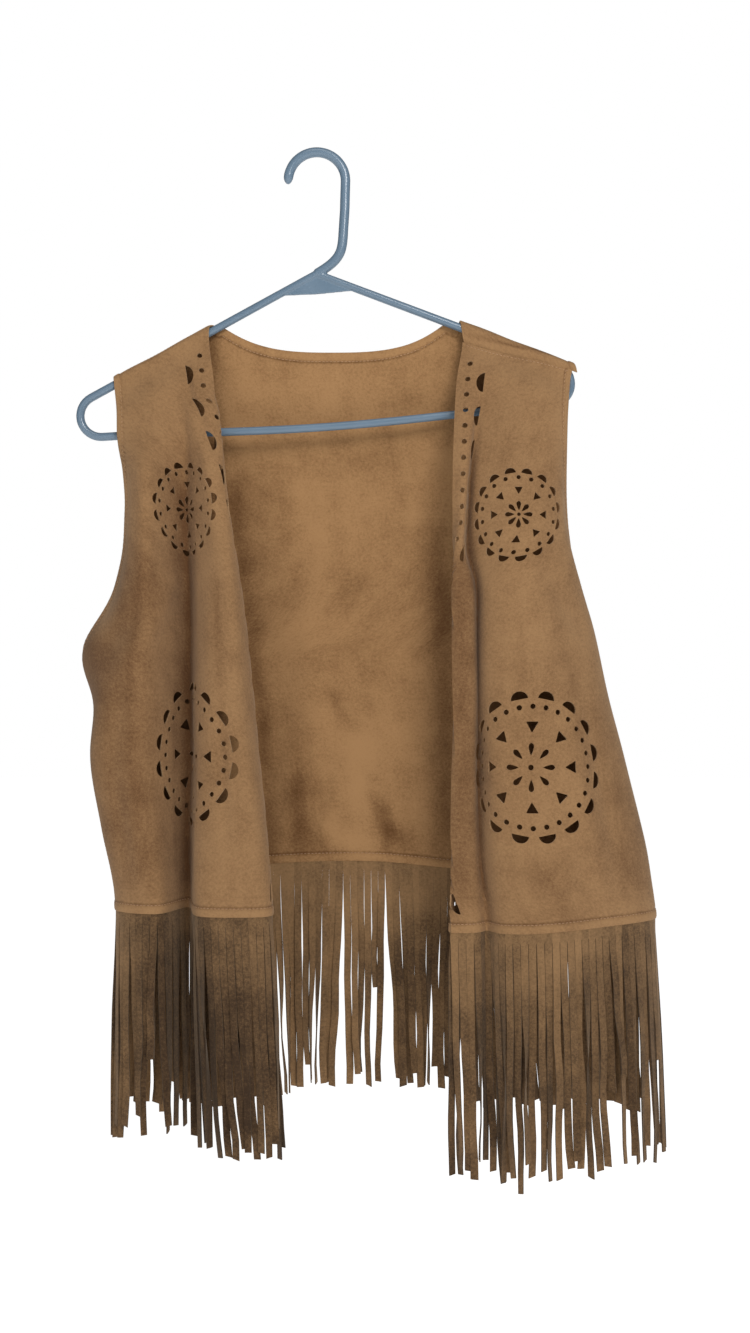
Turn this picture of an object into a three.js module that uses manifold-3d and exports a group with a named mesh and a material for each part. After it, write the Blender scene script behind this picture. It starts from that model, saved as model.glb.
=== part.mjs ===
// A fringed suede vest with cut-out rosettes, hung on a moulded tube hanger.
// Millimetres. +Z is up and the vest's front faces -Y. Left and right are as seen from the front.
// The origin is the inner top of the hanger's hook, where a rail or a nail holds it.
import * as THREE from 'three';
import { mergeVertices } from 'three/addons/utils/BufferGeometryUtils.js';
import Module from 'manifold-3d';

const wasm = await Module();
wasm.setup();

const { degToRad, lerp, smoothstep } = THREE.MathUtils;

// Suede: its thickness, the gap left at a seam, and the mesh cells across and along the folds
const WALL = 1.6;
const SEAM = 0.3;
const CELL_ACROSS = 11;
const CELL_ACROSS_BACK = 19.8;
const CELL_DOWN = 38;

// Hanger: radii of the frame's and the hook's tube, hook and shaft, then the frame, which hangs
// tilted about the hook
const TUBE = 3.5;
const HOOK_TUBE = 4.1;
const HOOK_RADIUS = 24;
const HOOK_SWEEP = 186;
const SHAFT = [[23.3, -45], [22, -72], [19, -83], [12, -90.5]];
const HANGER_TILT = 4.1;
const ARM_SLOPE = 24.7;
const APEX = { x: -7.2, z: -97.5 };
const HALF_WIDTH = 206;
const BAR_DROP = 123.5;
const BAR_SAG = 5;
const GUSSET = { halfWidth: 28, height: 15.5, bow: 1.5, thickness: 3 };

// Shoulders: the cloth rolls over the arms on this radius, and the right one is pulled to the front
const ROLL = TUBE + 0.8 + WALL / 2;
const SETTLE = 34;
const LAP = { neck: 13, tip: 2 };
const NECK_LEFT = -92;
const NECK_RIGHT = 123.5;
const NECK_DIP = -161.5;
const NECK_FLATNESS = 3.1;
const NECK_WRAP = { left: 12, right: 6, columns: 6, clearShare: 0.012 };
const NECK_ENDS = { left: -80, right: 108 };

// Heights at which a section stands for the neck, the shoulder tip, the chest and the body
const NECK_LEVEL = -150;
const TIP_LEVEL = -190;
const CHEST_LEVEL = -300;
const BODY_LEVEL = -500;

// Where the side seams begin and the hems end
const UNDERARM_LEFT = -417;
const UNDERARM_RIGHT = -402;
const LEVELS = [-440, -466, -500, -535, -570, -603];
const HEM_LEFT = -629;
const HEM_RIGHT = { edge: -641, side: -635 };
const HEM_BACK_RISE = 8;

// Fringe: sewn-on strip and the strands slit below it
const STRAND = { pitch: 5.5, width: 4.2, tip: 3.3, thick: 1.4, stagger: 1.3, strip: 8 };

// Waves along a fringe: how far each moves a strand's end, and its length per radian in mm of hem
const FRINGE_WAVES = {
  sway: [{ size: 0.9, length: 13 }, { size: 0.5, length: 7.3 }],
  drop: [{ size: 6, length: 1.1 }, { size: 3, length: 0.43 }],
  billow: [{ size: 3, length: 29 }],
  turn: [{ size: 0.25, length: 0.59 }],
};

// Sections of the left front, from its front edge round to the side seam, as [x, y] at each height.
// The edge strip rolls back under itself, and one deep valley runs down through both rosettes.
const LEFT_FRONT = [
  { z: -150, edge: [-90, -8], under: [-94, -8], roll: [-99, -9], lobe: [-106, -9], wall: [-113, -9],
    valley: [-120, -9], crest: [-141, -9], turn: [-162, -8], side: [-171, -7] },
  { z: -190, edge: [-85, -14], under: [-89, -15], roll: [-94, -16], lobe: [-100, -16], wall: [-107, -15],
    valley: [-114, -14], crest: [-138, -15], turn: [-159, -11], side: [-169, -7] },
  { z: -214, edge: [-84, -16], under: [-81, -19], roll: [-88, -23], lobe: [-96, -23], wall: [-104, -20],
    valley: [-112, -16], crest: [-137, -18], turn: [-157, -13], side: [-166, -8] },
  { z: -235, edge: [-84, -15], under: [-78, -21], roll: [-84, -26], lobe: [-92, -27], wall: [-101, -23],
    valley: [-109, -17], crest: [-136, -22], turn: [-156, -15], side: [-165, -9] },
  { z: -265, edge: [-84, -10], under: [-75, -21], roll: [-79, -29], lobe: [-88, -29], wall: [-100, -17],
    valley: [-110, -7], crest: [-138, -33], turn: [-151, -25], side: [-160, -11] },
  { z: -296, edge: [-82, -10], under: [-71, -24], roll: [-75, -31], lobe: [-84, -31], wall: [-98, -17],
    valley: [-110, -5], crest: [-138, -36], turn: [-150, -28], side: [-158, -12] },
  { z: -360, edge: [-73, -8], under: [-62, -22], roll: [-68, -40], lobe: [-79, -38], wall: [-96, -22],
    valley: [-108, 2], crest: [-137, -38], turn: [-156, -28], side: [-168, -5] },
  { z: -417, edge: [-66, -7], under: [-55, -22], roll: [-63, -42], lobe: [-75, -42], wall: [-95, -28],
    valley: [-108, 6], crest: [-140, -36], turn: [-171, -25], side: [-197, 8] },
  { z: -462, edge: [-61, -7], under: [-50, -22], roll: [-60, -44], lobe: [-72, -46], wall: [-95, -31],
    valley: [-108, 8], crest: [-142, -35], turn: [-178, -23], side: [-186, 14] },
  { z: -500, edge: [-58, -8], under: [-47, -22], roll: [-55, -45], lobe: [-71, -45], wall: [-94, -32],
    valley: [-108, 8], crest: [-142, -35], turn: [-183, -22], side: [-185, 16] },
  { z: -560, edge: [-52, -12], under: [-41, -26], roll: [-47, -44], lobe: [-70, -46], wall: [-95, -34],
    valley: [-109, 8], crest: [-136, -32], turn: [-174, -20], side: [-177, 20] },
  { z: -629, edge: [-46, -22], under: [-35, -34], roll: [-41, -45], lobe: [-66, -48], wall: [-94, -42],
    valley: [-108, 5], crest: [-130, -30], turn: [-163, -16], side: [-166, 24] },
];

// Sections of the right front. Its valley lies beside the edge strip, and the rest hangs smooth.
const RIGHT_FRONT = [
  { z: -150, edge: [122, -9], roll: [130, -9.5], strip: [136, -10], valley: [142, -10], bank: [149, -10],
    crest: [162, -10], outer: [186, -10], turn: [208, -9], side: [219, -8] },
  { z: -190, edge: [116.5, -16], roll: [125, -18], strip: [131, -18], valley: [138, -17],
    bank: [146, -17], crest: [164, -19], outer: [189, -17], turn: [203, -13], side: [211, -9] },
  { z: -235, edge: [113.5, -28], roll: [122, -31], strip: [127, -29.5], valley: [131, -23],
    bank: [138, -27], crest: [162, -32], outer: [187, -29], turn: [200, -22], side: [207, -14] },
  { z: -305, edge: [112, -34], roll: [118.5, -40], strip: [121.5, -39], valley: [125, -27],
    bank: [130, -33], crest: [158, -47], outer: [183, -43], turn: [201.5, -30], side: [208, -12] },
  { z: -335, edge: [114, -31], roll: [113, -42], strip: [119.5, -42.5], valley: [124.5, -29],
    bank: [133, -38], crest: [158, -51], outer: [185, -46], turn: [209, -27], side: [212, -5] },
  { z: -358, edge: [128, -26], roll: [111.5, -43.5], strip: [126, -43], valley: [131, -33],
    bank: [138, -45], crest: [158, -54], outer: [188, -48], turn: [217, -24], side: [217, 2] },
  { z: -402, edge: [129, -26], roll: [111.5, -45], strip: [127, -43], valley: [132, -34],
    bank: [139, -50], crest: [161, -58], outer: [194, -50], turn: [228, -22], side: [229, 12] },
  { z: -460, edge: [130, -26], roll: [111.5, -46], strip: [127.5, -44], valley: [132.5, -35],
    bank: [141, -52], crest: [164, -62], outer: [205, -54], turn: [241, -22], side: [240, 16] },
  { z: -507, edge: [130, -26], roll: [111.5, -46], strip: [127.5, -44], valley: [132.5, -35],
    bank: [143, -56], crest: [168, -64], outer: [211, -57], turn: [253, -22], side: [251, 18] },
  { z: -575, edge: [129, -28], roll: [110.5, -48], strip: [128, -46], valley: [134, -38],
    bank: [146, -56], crest: [172, -65], outer: [222, -56], turn: [271, -20], side: [267, 20] },
  { z: -600, edge: [126, -31], roll: [110, -48], strip: [129, -47], valley: [136, -39], bank: [148, -57],
    crest: [174, -66], outer: [225, -54], turn: [275, -19], side: [271, 21] },
  { z: -638, edge: [117, -40], roll: [109, -48], strip: [131, -50], valley: [139, -42], bank: [150, -58],
    crest: [176, -66], outer: [229, -52], turn: [279, -18], side: [275, 22] },
];

// Sections of the back, from the left armhole or side seam to the right one. Below the underarms its
// ends follow the fronts' side seams, so the rows there only shape the soft waves between them.
const BACK = [
  { z: -150, left: [-171, 7], leftTurn: [-155, 8], fold1: [-105, 8], fold2: [-60, 9], fold3: [-10, 10],
    fold4: [35, 10], fold5: [80, 9], fold6: [128, 8], rightTurn: [190, 8], right: [219, 7] },
  { z: -190, left: [-169, 8], leftTurn: [-150, 11], fold1: [-104, 13], fold2: [-60, 14], fold3: [-10, 15],
    fold4: [35, 14], fold5: [82, 13], fold6: [128, 12], rightTurn: [178, 10], right: [209, 8] },
  { z: -235, left: [-160, 10], leftTurn: [-144, 15], fold1: [-102, 19], fold2: [-58, 21], fold3: [-10, 20],
    fold4: [36, 20], fold5: [84, 18], fold6: [126, 16], rightTurn: [174, 14], right: [207, 11] },
  { z: -296, left: [-150, 15], leftTurn: [-138, 20], fold1: [-100, 25], fold2: [-56, 30], fold3: [-10, 27],
    fold4: [38, 28], fold5: [86, 25], fold6: [126, 21], rightTurn: [176, 19], right: [205, 15] },
  { z: -360, left: [-158, 15], leftTurn: [-142, 24], fold1: [-98, 29], fold2: [-52, 36], fold3: [-8, 31],
    fold4: [42, 34], fold5: [90, 29], fold6: [130, 24], rightTurn: [184, 23], right: [215, 13] },
  { z: -402, left: [-184, 10], leftTurn: [-163, 26], fold1: [-96, 30], fold2: [-49, 39], fold3: [-6, 33],
    fold4: [45, 38], fold5: [95, 32], fold6: [134, 25], rightTurn: [200, 28], right: [229, 12] },
  { z: -417, left: [-197, 8], leftTurn: [-176, 28], fold1: [-95, 31], fold2: [-48, 40], fold3: [-5, 34],
    fold4: [46, 39], fold5: [96, 33], fold6: [137, 26], rightTurn: [206, 30], right: [232, 13] },
  { z: -460, left: [-186, 14], leftTurn: [-170, 32], fold1: [-94, 32], fold2: [-46, 42], fold3: [-4, 36],
    fold4: [48, 41], fold5: [98, 34], fold6: [142, 27], rightTurn: [216, 34], right: [240, 16] },
  { z: -500, left: [-185, 16], leftTurn: [-168, 34], fold1: [-93, 33], fold2: [-45, 43], fold3: [-2, 38],
    fold4: [50, 42], fold5: [100, 35], fold6: [146, 28], rightTurn: [226, 36], right: [250, 18] },
  { z: -560, left: [-177, 20], leftTurn: [-161, 37], fold1: [-92, 33], fold2: [-44, 44], fold3: [0, 40],
    fold4: [52, 44], fold5: [102, 36], fold6: [150, 29], rightTurn: [240, 39], right: [264, 20] },
  { z: -629, left: [-168, 24], leftTurn: [-152, 40], fold1: [-92, 32], fold2: [-42, 42], fold3: [4, 42],
    fold4: [56, 44], fold5: [106, 34], fold6: [156, 30], rightTurn: [252, 40], right: [276, 22] },
];

// Cut-outs, on the flat pattern. Each rosette has rings of half-moons and triangles round a flower.
const ROSETTES = {
  upper: { chord: 34.5, moon: [9.4, 4.7], triangle: 7.3, triangles: 21, petals: null },
  lower: {
    chord: 55, moon: [14, 6.5], triangle: 10.4, triangles: 33.5, petals: { from: 10, to: 19.5, width: 4.6 },
  },
};
const MOONS = 16;
const SPOKES = 8;
const HUB_HOLE = 4.6;
const CUTS_LEFT = { upper: [71, -296, 0.28], lower: [110, -500, 0.1], first: -184 };
const CUTS_RIGHT = { upper: [71, -304, 0.16], lower: [110, -507, 0], first: -192 };
const BORDER = { across: 19.5, length: 16.5, height: 6.5, spacing: 28.4, count: 16 };

const suede = new THREE.MeshStandardMaterial({ color: 0x9e7852, roughness: 0.95, metalness: 0 });
const fringeSuede = new THREE.MeshStandardMaterial({ color: 0x7d6142, roughness: 0.95, metalness: 0 });
const plastic = new THREE.MeshStandardMaterial({ color: 0x8498a8, roughness: 0.4, metalness: 0 });

// A table of sections as smooth curves down the garment: station(name, z) gives [x, y]
function stations(rows) {
  const names = Object.keys(rows[0]).filter((name) => name !== 'z');
  const values = rows.flatMap((row) => names.flatMap((name) => row[name]));
  const curves = new THREE.CubicInterpolant(rows.map((row) => -row.z), values, names.length * 2);
  const all = (z) => {
    const flat = curves.evaluate(-z);
    return names.map((_, i) => [flat[2 * i], flat[2 * i + 1]]);
  };
  return { all, at: (name, z) => all(z)[names.indexOf(name)] };
}

const leftStations = stations(LEFT_FRONT);
const rightStations = stations(RIGHT_FRONT);
const backStations = stations(BACK);

// The point that an edge would run on to: straight ahead at an armhole, the next panel below it
function beyond(end, previous, next, z, underarm) {
  const joined = 1 - smoothstep(z, underarm, underarm + 40);
  return end.map((value, i) => lerp(2 * value - previous[i], next[i], joined));
}

function leftSection(z) {
  const points = leftStations.all(z);
  const next = backStations.at('leftTurn', z);
  return { points, after: beyond(points.at(-1), points.at(-2), next, z, UNDERARM_LEFT) };
}

function rightSection(z) {
  const points = rightStations.all(z);
  const next = backStations.at('rightTurn', z);
  return { points, after: beyond(points.at(-1), points.at(-2), next, z, UNDERARM_RIGHT) };
}

function backSection(z) {
  const points = backStations.all(z);
  if (z < UNDERARM_LEFT) points[0] = leftStations.at('side', z);
  if (z < UNDERARM_RIGHT) points[points.length - 1] = rightStations.at('side', z);
  return {
    before: beyond(points[0], points[1], leftStations.at('turn', z), z, UNDERARM_LEFT),
    points,
    after: beyond(points.at(-1), points.at(-2), rightStations.at('turn', z), z, UNDERARM_RIGHT),
  };
}

// One horizontal section as a curve measured along the cloth: at(a) gives [x, y] a mm from its start
function measured(section) {
  const steps = 10;
  const before = section.before ? [section.before] : [];
  const after = section.after ? [section.after] : [];
  const points = [...before, ...section.points, ...after].map(([x, y]) => new THREE.Vector3(x, y, 0));
  const curve = new THREE.CatmullRomCurve3(points);
  const spans = points.length - 1;
  const samples = [];
  for (let i = 0; i <= (section.points.length - 1) * steps; i += 1) {
    samples.push(curve.getPoint((before.length + i / steps) / spans));
  }
  const lengths = [0];
  for (let i = 1; i < samples.length; i += 1) {
    lengths.push(lengths[i - 1] + samples[i].distanceTo(samples[i - 1]));
  }
  const at = (a) => {
    let i = 1;
    while (i < samples.length - 1 && lengths[i] < a) i += 1;
    const share = (a - lengths[i - 1]) / (lengths[i] - lengths[i - 1]);
    return samples[i - 1].clone().lerp(samples[i], share);
  };
  return { length: lengths.at(-1), at };
}

// World position of the hanger's apex, and the ridge line that the cloth follows over each arm
const tilt = degToRad(HANGER_TILT);
const apex = new THREE.Vector2(APEX.x, APEX.z).rotateAround(new THREE.Vector2(), tilt);

function ridge(x) {
  const slope = degToRad(x < apex.x ? ARM_SLOPE + HANGER_TILT : ARM_SLOPE - HANGER_TILT);
  return apex.y - Math.abs(x - apex.x) * Math.tan(slope) + ROLL / Math.cos(slope);
}

// A panel's own flat measures are a, along the section, and h, its height. Above the line where the
// cloth meets the arm, h goes on round the roll and, on the right shoulder, down the other side.
class Panel {
  constructor(pattern) {
    Object.assign(this, pattern, { cache: new Map() });
  }

  sectionAt(h) {
    const key = Math.round(h * 50);
    if (!this.cache.has(key)) this.cache.set(key, measured(this.section(key / 50)));
    return this.cache.get(key);
  }

  point(a, h) {
    const { x, y } = this.sectionAt(h).at(a);
    const contact = ridge(x) - ROLL;
    const over = h - contact;
    const side = this.face;
    if (over > Math.PI * ROLL) return new THREE.Vector3(x, -side * ROLL, contact - (over - Math.PI * ROLL));
    if (over > 0) {
      const angle = over / ROLL;
      return new THREE.Vector3(x, side * ROLL * Math.cos(angle), contact + ROLL * Math.sin(angle));
    }
    return new THREE.Vector3(x, lerp(side * ROLL, y, smoothstep(-over, 0, SETTLE)), h);
  }

  // Outward normal, from two short steps across the cloth
  normal(a, h) {
    const step = 0.6;
    const across = this.point(a + step, h).sub(this.point(a - step, h));
    const up = this.point(a, h + step).sub(this.point(a, h - step));
    const normal = across.cross(up).normalize();
    return this.flips() ? normal.negate() : normal;
  }

  // The left front and the back are measured right to left or from behind, which turns the normal
  flips() {
    const middle = this.sectionAt(this.hem(0));
    const runsRight = middle.at(middle.length).x > middle.at(0).x;
    return runsRight ? this.face > 0 : this.face < 0;
  }

  // Flat point at share u across and at a height that depends on where that share lies
  place(u, heightAt) {
    const chest = this.sectionAt(CHEST_LEVEL);
    let h = heightAt(chest.at(u * chest.length).x);
    let a = 0;
    for (let i = 0; i < 8; i += 1) {
      const section = this.sectionAt(h);
      const first = this.face > 0 ? SEAM / 2 : 0;
      a = lerp(first, section.length - SEAM / 2, u);
      h = heightAt(section.at(a).x);
    }
    return [a, h];
  }

  // Heights of the mesh rows: round the roll, down to the underarm, then level with the next panel
  rows() {
    const rollRows = this.face > 0 ? 7 : 3;
    const contact = (x) => Math.min(ridge(x) - ROLL, this.top(x) - 6);
    const rows = [];
    for (let i = 0; i < rollRows; i += 1) {
      rows.push((x) => lerp(this.top(x), contact(x), i / rollRows));
    }
    const upperRows = Math.round((contact(this.tipX()) - this.underarm(this.tipX())) / CELL_DOWN);
    for (let i = 0; i < upperRows; i += 1) {
      rows.push((x) => lerp(contact(x), this.underarm(x), i / upperRows));
    }
    rows.push(this.underarm);
    const lowest = this.hem(this.tipX());
    LEVELS.filter((level) => level > lowest + 3).forEach((level) => rows.push(() => level));
    rows.push(this.hem);
    return rows;
  }

  // Shares across at which the mesh has its columns, closer where the neckline wraps over an arm
  columns() {
    const cell = this.wraps ? CELL_ACROSS_BACK : CELL_ACROSS;
    const even = Math.round(this.sectionAt(BODY_LEVEL).length / cell);
    const shares = Array.from({ length: even + 1 }, (_, i) => i / even);
    if (!this.wraps) return shares;
    const top = this.sectionAt(NECK_LEVEL);
    const [start, end] = [top.at(0).x, top.at(top.length).x];
    const wrapped = this.wraps.flatMap(([from, to]) => {
      const steps = NECK_WRAP.columns;
      return Array.from({ length: steps + 1 }, (_, i) => (lerp(from, to, i / steps) - start) / (end - start));
    });
    const isClear = (share) => wrapped.every((other) => Math.abs(share - other) > NECK_WRAP.clearShare);
    return [...shares.filter(isClear), ...wrapped].sort((a, b) => a - b);
  }

  tipX() {
    const upper = this.sectionAt(TIP_LEVEL);
    return upper.at(upper.length).x;
  }
}

// Edges of the panels, as heights at x
const overLeft = (x) => ridge(x) - ROLL + Math.PI / 2 * ROLL;
const lap = (x) => lerp(LAP.neck, LAP.tip, smoothstep(x, NECK_RIGHT, 214));
const overRight = (x) => ridge(x) - ROLL - lap(x);

function neckline(x) {
  const share = (x - NECK_ENDS.left) / (NECK_ENDS.right - NECK_ENDS.left);
  const ends = lerp(ridge(NECK_ENDS.left) - ROLL, ridge(NECK_ENDS.right) - ROLL, share);
  return lerp(NECK_DIP, ends, Math.abs(2 * share - 1) ** NECK_FLATNESS);
}

// The neckline's ends wrap up over the arms, to the ridge on the left and down the front on the right
function backTop(x) {
  const shoulder = x < 0 ? overLeft(x) - SEAM / 2 : ridge(x) - ROLL + Math.PI * ROLL + lap(x) - SEAM;
  const bare = x < 0
    ? smoothstep(x, NECK_LEFT, NECK_LEFT + NECK_WRAP.left)
    : 1 - smoothstep(x, NECK_RIGHT - NECK_WRAP.right, NECK_RIGHT);
  const open = Math.min(neckline(x), ridge(x) - ROLL);
  return lerp(shoulder, open, bare);
}

function backHem(x) {
  const share = Math.max(0, 1 - ((x - 20) / 150) ** 2);
  return LEVELS.at(-1) + HEM_BACK_RISE * share * share;
}

const leftFront = new Panel({
  section: leftSection,
  face: -1,
  top: (x) => overLeft(x) - SEAM / 2,
  underarm: () => UNDERARM_LEFT,
  hem: () => HEM_LEFT,
});

const rightFront = new Panel({
  section: rightSection,
  face: -1,
  top: overRight,
  underarm: () => UNDERARM_RIGHT,
  hem: (x) => lerp(HEM_RIGHT.edge, HEM_RIGHT.side, smoothstep(x, 110, 280)),
});

const back = new Panel({
  section: backSection,
  face: 1,
  top: backTop,
  underarm: (x) => lerp(UNDERARM_LEFT, UNDERARM_RIGHT, smoothstep(x, -170, 200)),
  hem: backHem,
  wraps: [[NECK_LEFT, NECK_LEFT + NECK_WRAP.left], [NECK_RIGHT - NECK_WRAP.right, NECK_RIGHT]],
});

// Closed mesh from points and faces, with its faces turned outwards
function solid(name, points, faces, material) {
  const volume = faces.reduce((sum, [a, b, c]) => {
    const normal = new THREE.Vector3().crossVectors(points[b], points[c]);
    return sum + points[a].dot(normal);
  }, 0);
  const outward = volume < 0 ? faces.map(([a, b, c]) => [a, c, b]) : faces;
  const geometry = new THREE.BufferGeometry().setFromPoints(points);
  geometry.setIndex(outward.flat());
  geometry.computeVertexNormals();
  const mesh = new THREE.Mesh(geometry, material);
  mesh.name = name;
  return mesh;
}

// A mesh of the panel's flat pattern: points [a, h] and triangles
function flatPattern(panel) {
  const columns = panel.columns();
  const rows = panel.rows();
  const points = rows.flatMap((row) => columns.map((share) => panel.place(share, row)));
  const faces = [];
  for (let j = 0; j < rows.length - 1; j += 1) {
    for (let i = 0; i < columns.length - 1; i += 1) {
      const corner = j * columns.length + i;
      const below = corner + columns.length;
      faces.push([corner, below, below + 1], [corner, below + 1, corner + 1]);
    }
  }
  return { points, faces };
}

// A sheet given a thickness: each face twice, and a wall along every free edge
function thicken({ points, faces }, outer, inner) {
  const count = points.length;
  const solidPoints = [...points.map(outer), ...points.map(inner)];
  const free = new Map();
  faces.forEach((face) => face.forEach((from, i) => {
    const to = face[(i + 1) % 3];
    if (!free.delete(`${to},${from}`)) free.set(`${from},${to}`, [from, to]);
  }));
  const walls = [...free.values()].flatMap(([from, to]) => [
    [from, from + count, to + count],
    [from, to + count, to],
  ]);
  const backs = faces.map(([a, b, c]) => [a + count, c + count, b + count]);
  return { points: solidPoints, faces: [...faces, ...backs, ...walls] };
}

function toManifold(geometry) {
  const plain = geometry.clone();
  plain.deleteAttribute('normal');
  plain.deleteAttribute('uv');
  const merged = mergeVertices(plain);
  return new wasm.Manifold(new wasm.Mesh({
    numProp: 3,
    vertProperties: new Float32Array(merged.attributes.position.array),
    triVerts: new Uint32Array(merged.index.array),
  }));
}

function fromManifold(manifold) {
  const { vertProperties, triVerts } = manifold.getMesh();
  const geometry = new THREE.BufferGeometry();
  geometry.setAttribute('position', new THREE.BufferAttribute(new Float32Array(vertProperties), 3));
  geometry.setIndex(new THREE.BufferAttribute(new Uint32Array(triVerts), 1));
  geometry.computeVertexNormals();
  return geometry;
}

// Outlines of the cut-outs, each about its own centre with +Y away from the rosette's middle
function moonOutline([width, height]) {
  const arcs = 4;
  const points = [];
  for (let i = 0; i <= arcs; i += 1) {
    const angle = Math.PI * i / arcs;
    points.push([width / 2 * Math.cos(angle), height * Math.sin(angle)]);
  }
  return points;
}

function polygonOutline(sides, radius, turn) {
  return Array.from({ length: sides }, (_, i) => {
    const angle = turn + 2 * Math.PI * i / sides;
    return [radius * Math.cos(angle), radius * Math.sin(angle)];
  });
}

function petalOutline({ from, to, width }) {
  const length = to - from;
  return [
    [0, from],
    [width * 0.36, from + length * 0.5],
    [width * 0.42, from + length * 0.8],
    [0, to],
    [-width * 0.42, from + length * 0.8],
    [-width * 0.36, from + length * 0.5],
  ];
}

// An outline moved out by a distance, turned by a bearing and set at a centre, with its lean
function placed(outline, centre, bearing, distance) {
  const [across, level, lean = 0] = centre;
  return outline.map(([x, y]) => {
    const point = new THREE.Vector2(x, y + distance).rotateAround(new THREE.Vector2(), bearing);
    return [across + point.x - lean * point.y, level + point.y];
  });
}

function rosette(kind, centre) {
  const { chord, moon, triangle, triangles, petals } = ROSETTES[kind];
  const cuts = [];
  for (let i = 0; i < MOONS; i += 1) {
    cuts.push(placed(moonOutline(moon), centre, 2 * Math.PI * (i + 0.5) / MOONS, chord));
  }
  for (let i = 0; i < SPOKES; i += 1) {
    const bearing = 2 * Math.PI * i / SPOKES;
    const inward = polygonOutline(3, triangle / Math.sqrt(3), -Math.PI / 2);
    cuts.push(placed(inward, centre, bearing, triangles));
    if (petals) cuts.push(placed(petalOutline(petals), centre, bearing, 0));
  }
  if (petals) cuts.push(placed(polygonOutline(7, HUB_HOLE / 2, 0), centre, 0, 0));
  return cuts;
}

function border(first) {
  const { across, length, height, spacing, count } = BORDER;
  const cuts = [];
  for (let i = 0; i < count; i += 1) {
    const centre = [across + height / 2, first - i * spacing];
    cuts.push(placed(moonOutline([length, height]), centre, Math.PI / 2, 0));
  }
  return cuts;
}

// The flat pattern with its cut-outs. The pattern is cut as a slightly rumpled slab, so that no two
// of its faces lie in one plane and the cut keeps every point that the folds need.
function cutPattern(pattern, outlines) {
  const rumple = ([a, h]) => 0.2 * Math.sin(a / 3) * Math.cos(h / 5);
  const slab = thicken(
    pattern,
    (point) => new THREE.Vector3(point[0], point[1], 1 + rumple(point)),
    (point) => new THREE.Vector3(point[0], point[1], -1 + rumple(point)),
  );
  const geometry = solid('pattern', slab.points, slab.faces, suede).geometry;
  const punches = outlines.map((outline) => {
    const shape = new THREE.Shape(outline.map(([x, y]) => new THREE.Vector2(x, y)));
    const punch = new THREE.ExtrudeGeometry(shape, { depth: 4, bevelEnabled: false });
    return toManifold(punch.translate(0, 0, -2));
  });
  const tool = punches.reduce((sum, punch) => sum.add(punch));
  const cut = toManifold(geometry).subtract(tool).getMesh();
  const upper = new Map();
  const points = [];
  const faces = [];
  for (let i = 0; i < cut.triVerts.length; i += 3) {
    const corners = [...cut.triVerts.subarray(i, i + 3)];
    if (corners.some((corner) => cut.vertProperties[3 * corner + 2] < 0)) continue;
    faces.push(corners.map((corner) => {
      if (!upper.has(corner)) {
        upper.set(corner, points.length);
        points.push([cut.vertProperties[3 * corner], cut.vertProperties[3 * corner + 1]]);
      }
      return upper.get(corner);
    }));
  }
  return { points, faces };
}

function panelMesh(name, panel, outlines) {
  const flat = flatPattern(panel);
  const pattern = outlines.length ? cutPattern(flat, outlines) : flat;
  const offset = (distance) => ([a, h]) => panel.point(a, h).addScaledVector(panel.normal(a, h), distance);
  const wall = thicken(pattern, offset(WALL / 2), offset(-WALL / 2));
  return solid(name, wall.points, wall.faces, suede);
}

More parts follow.
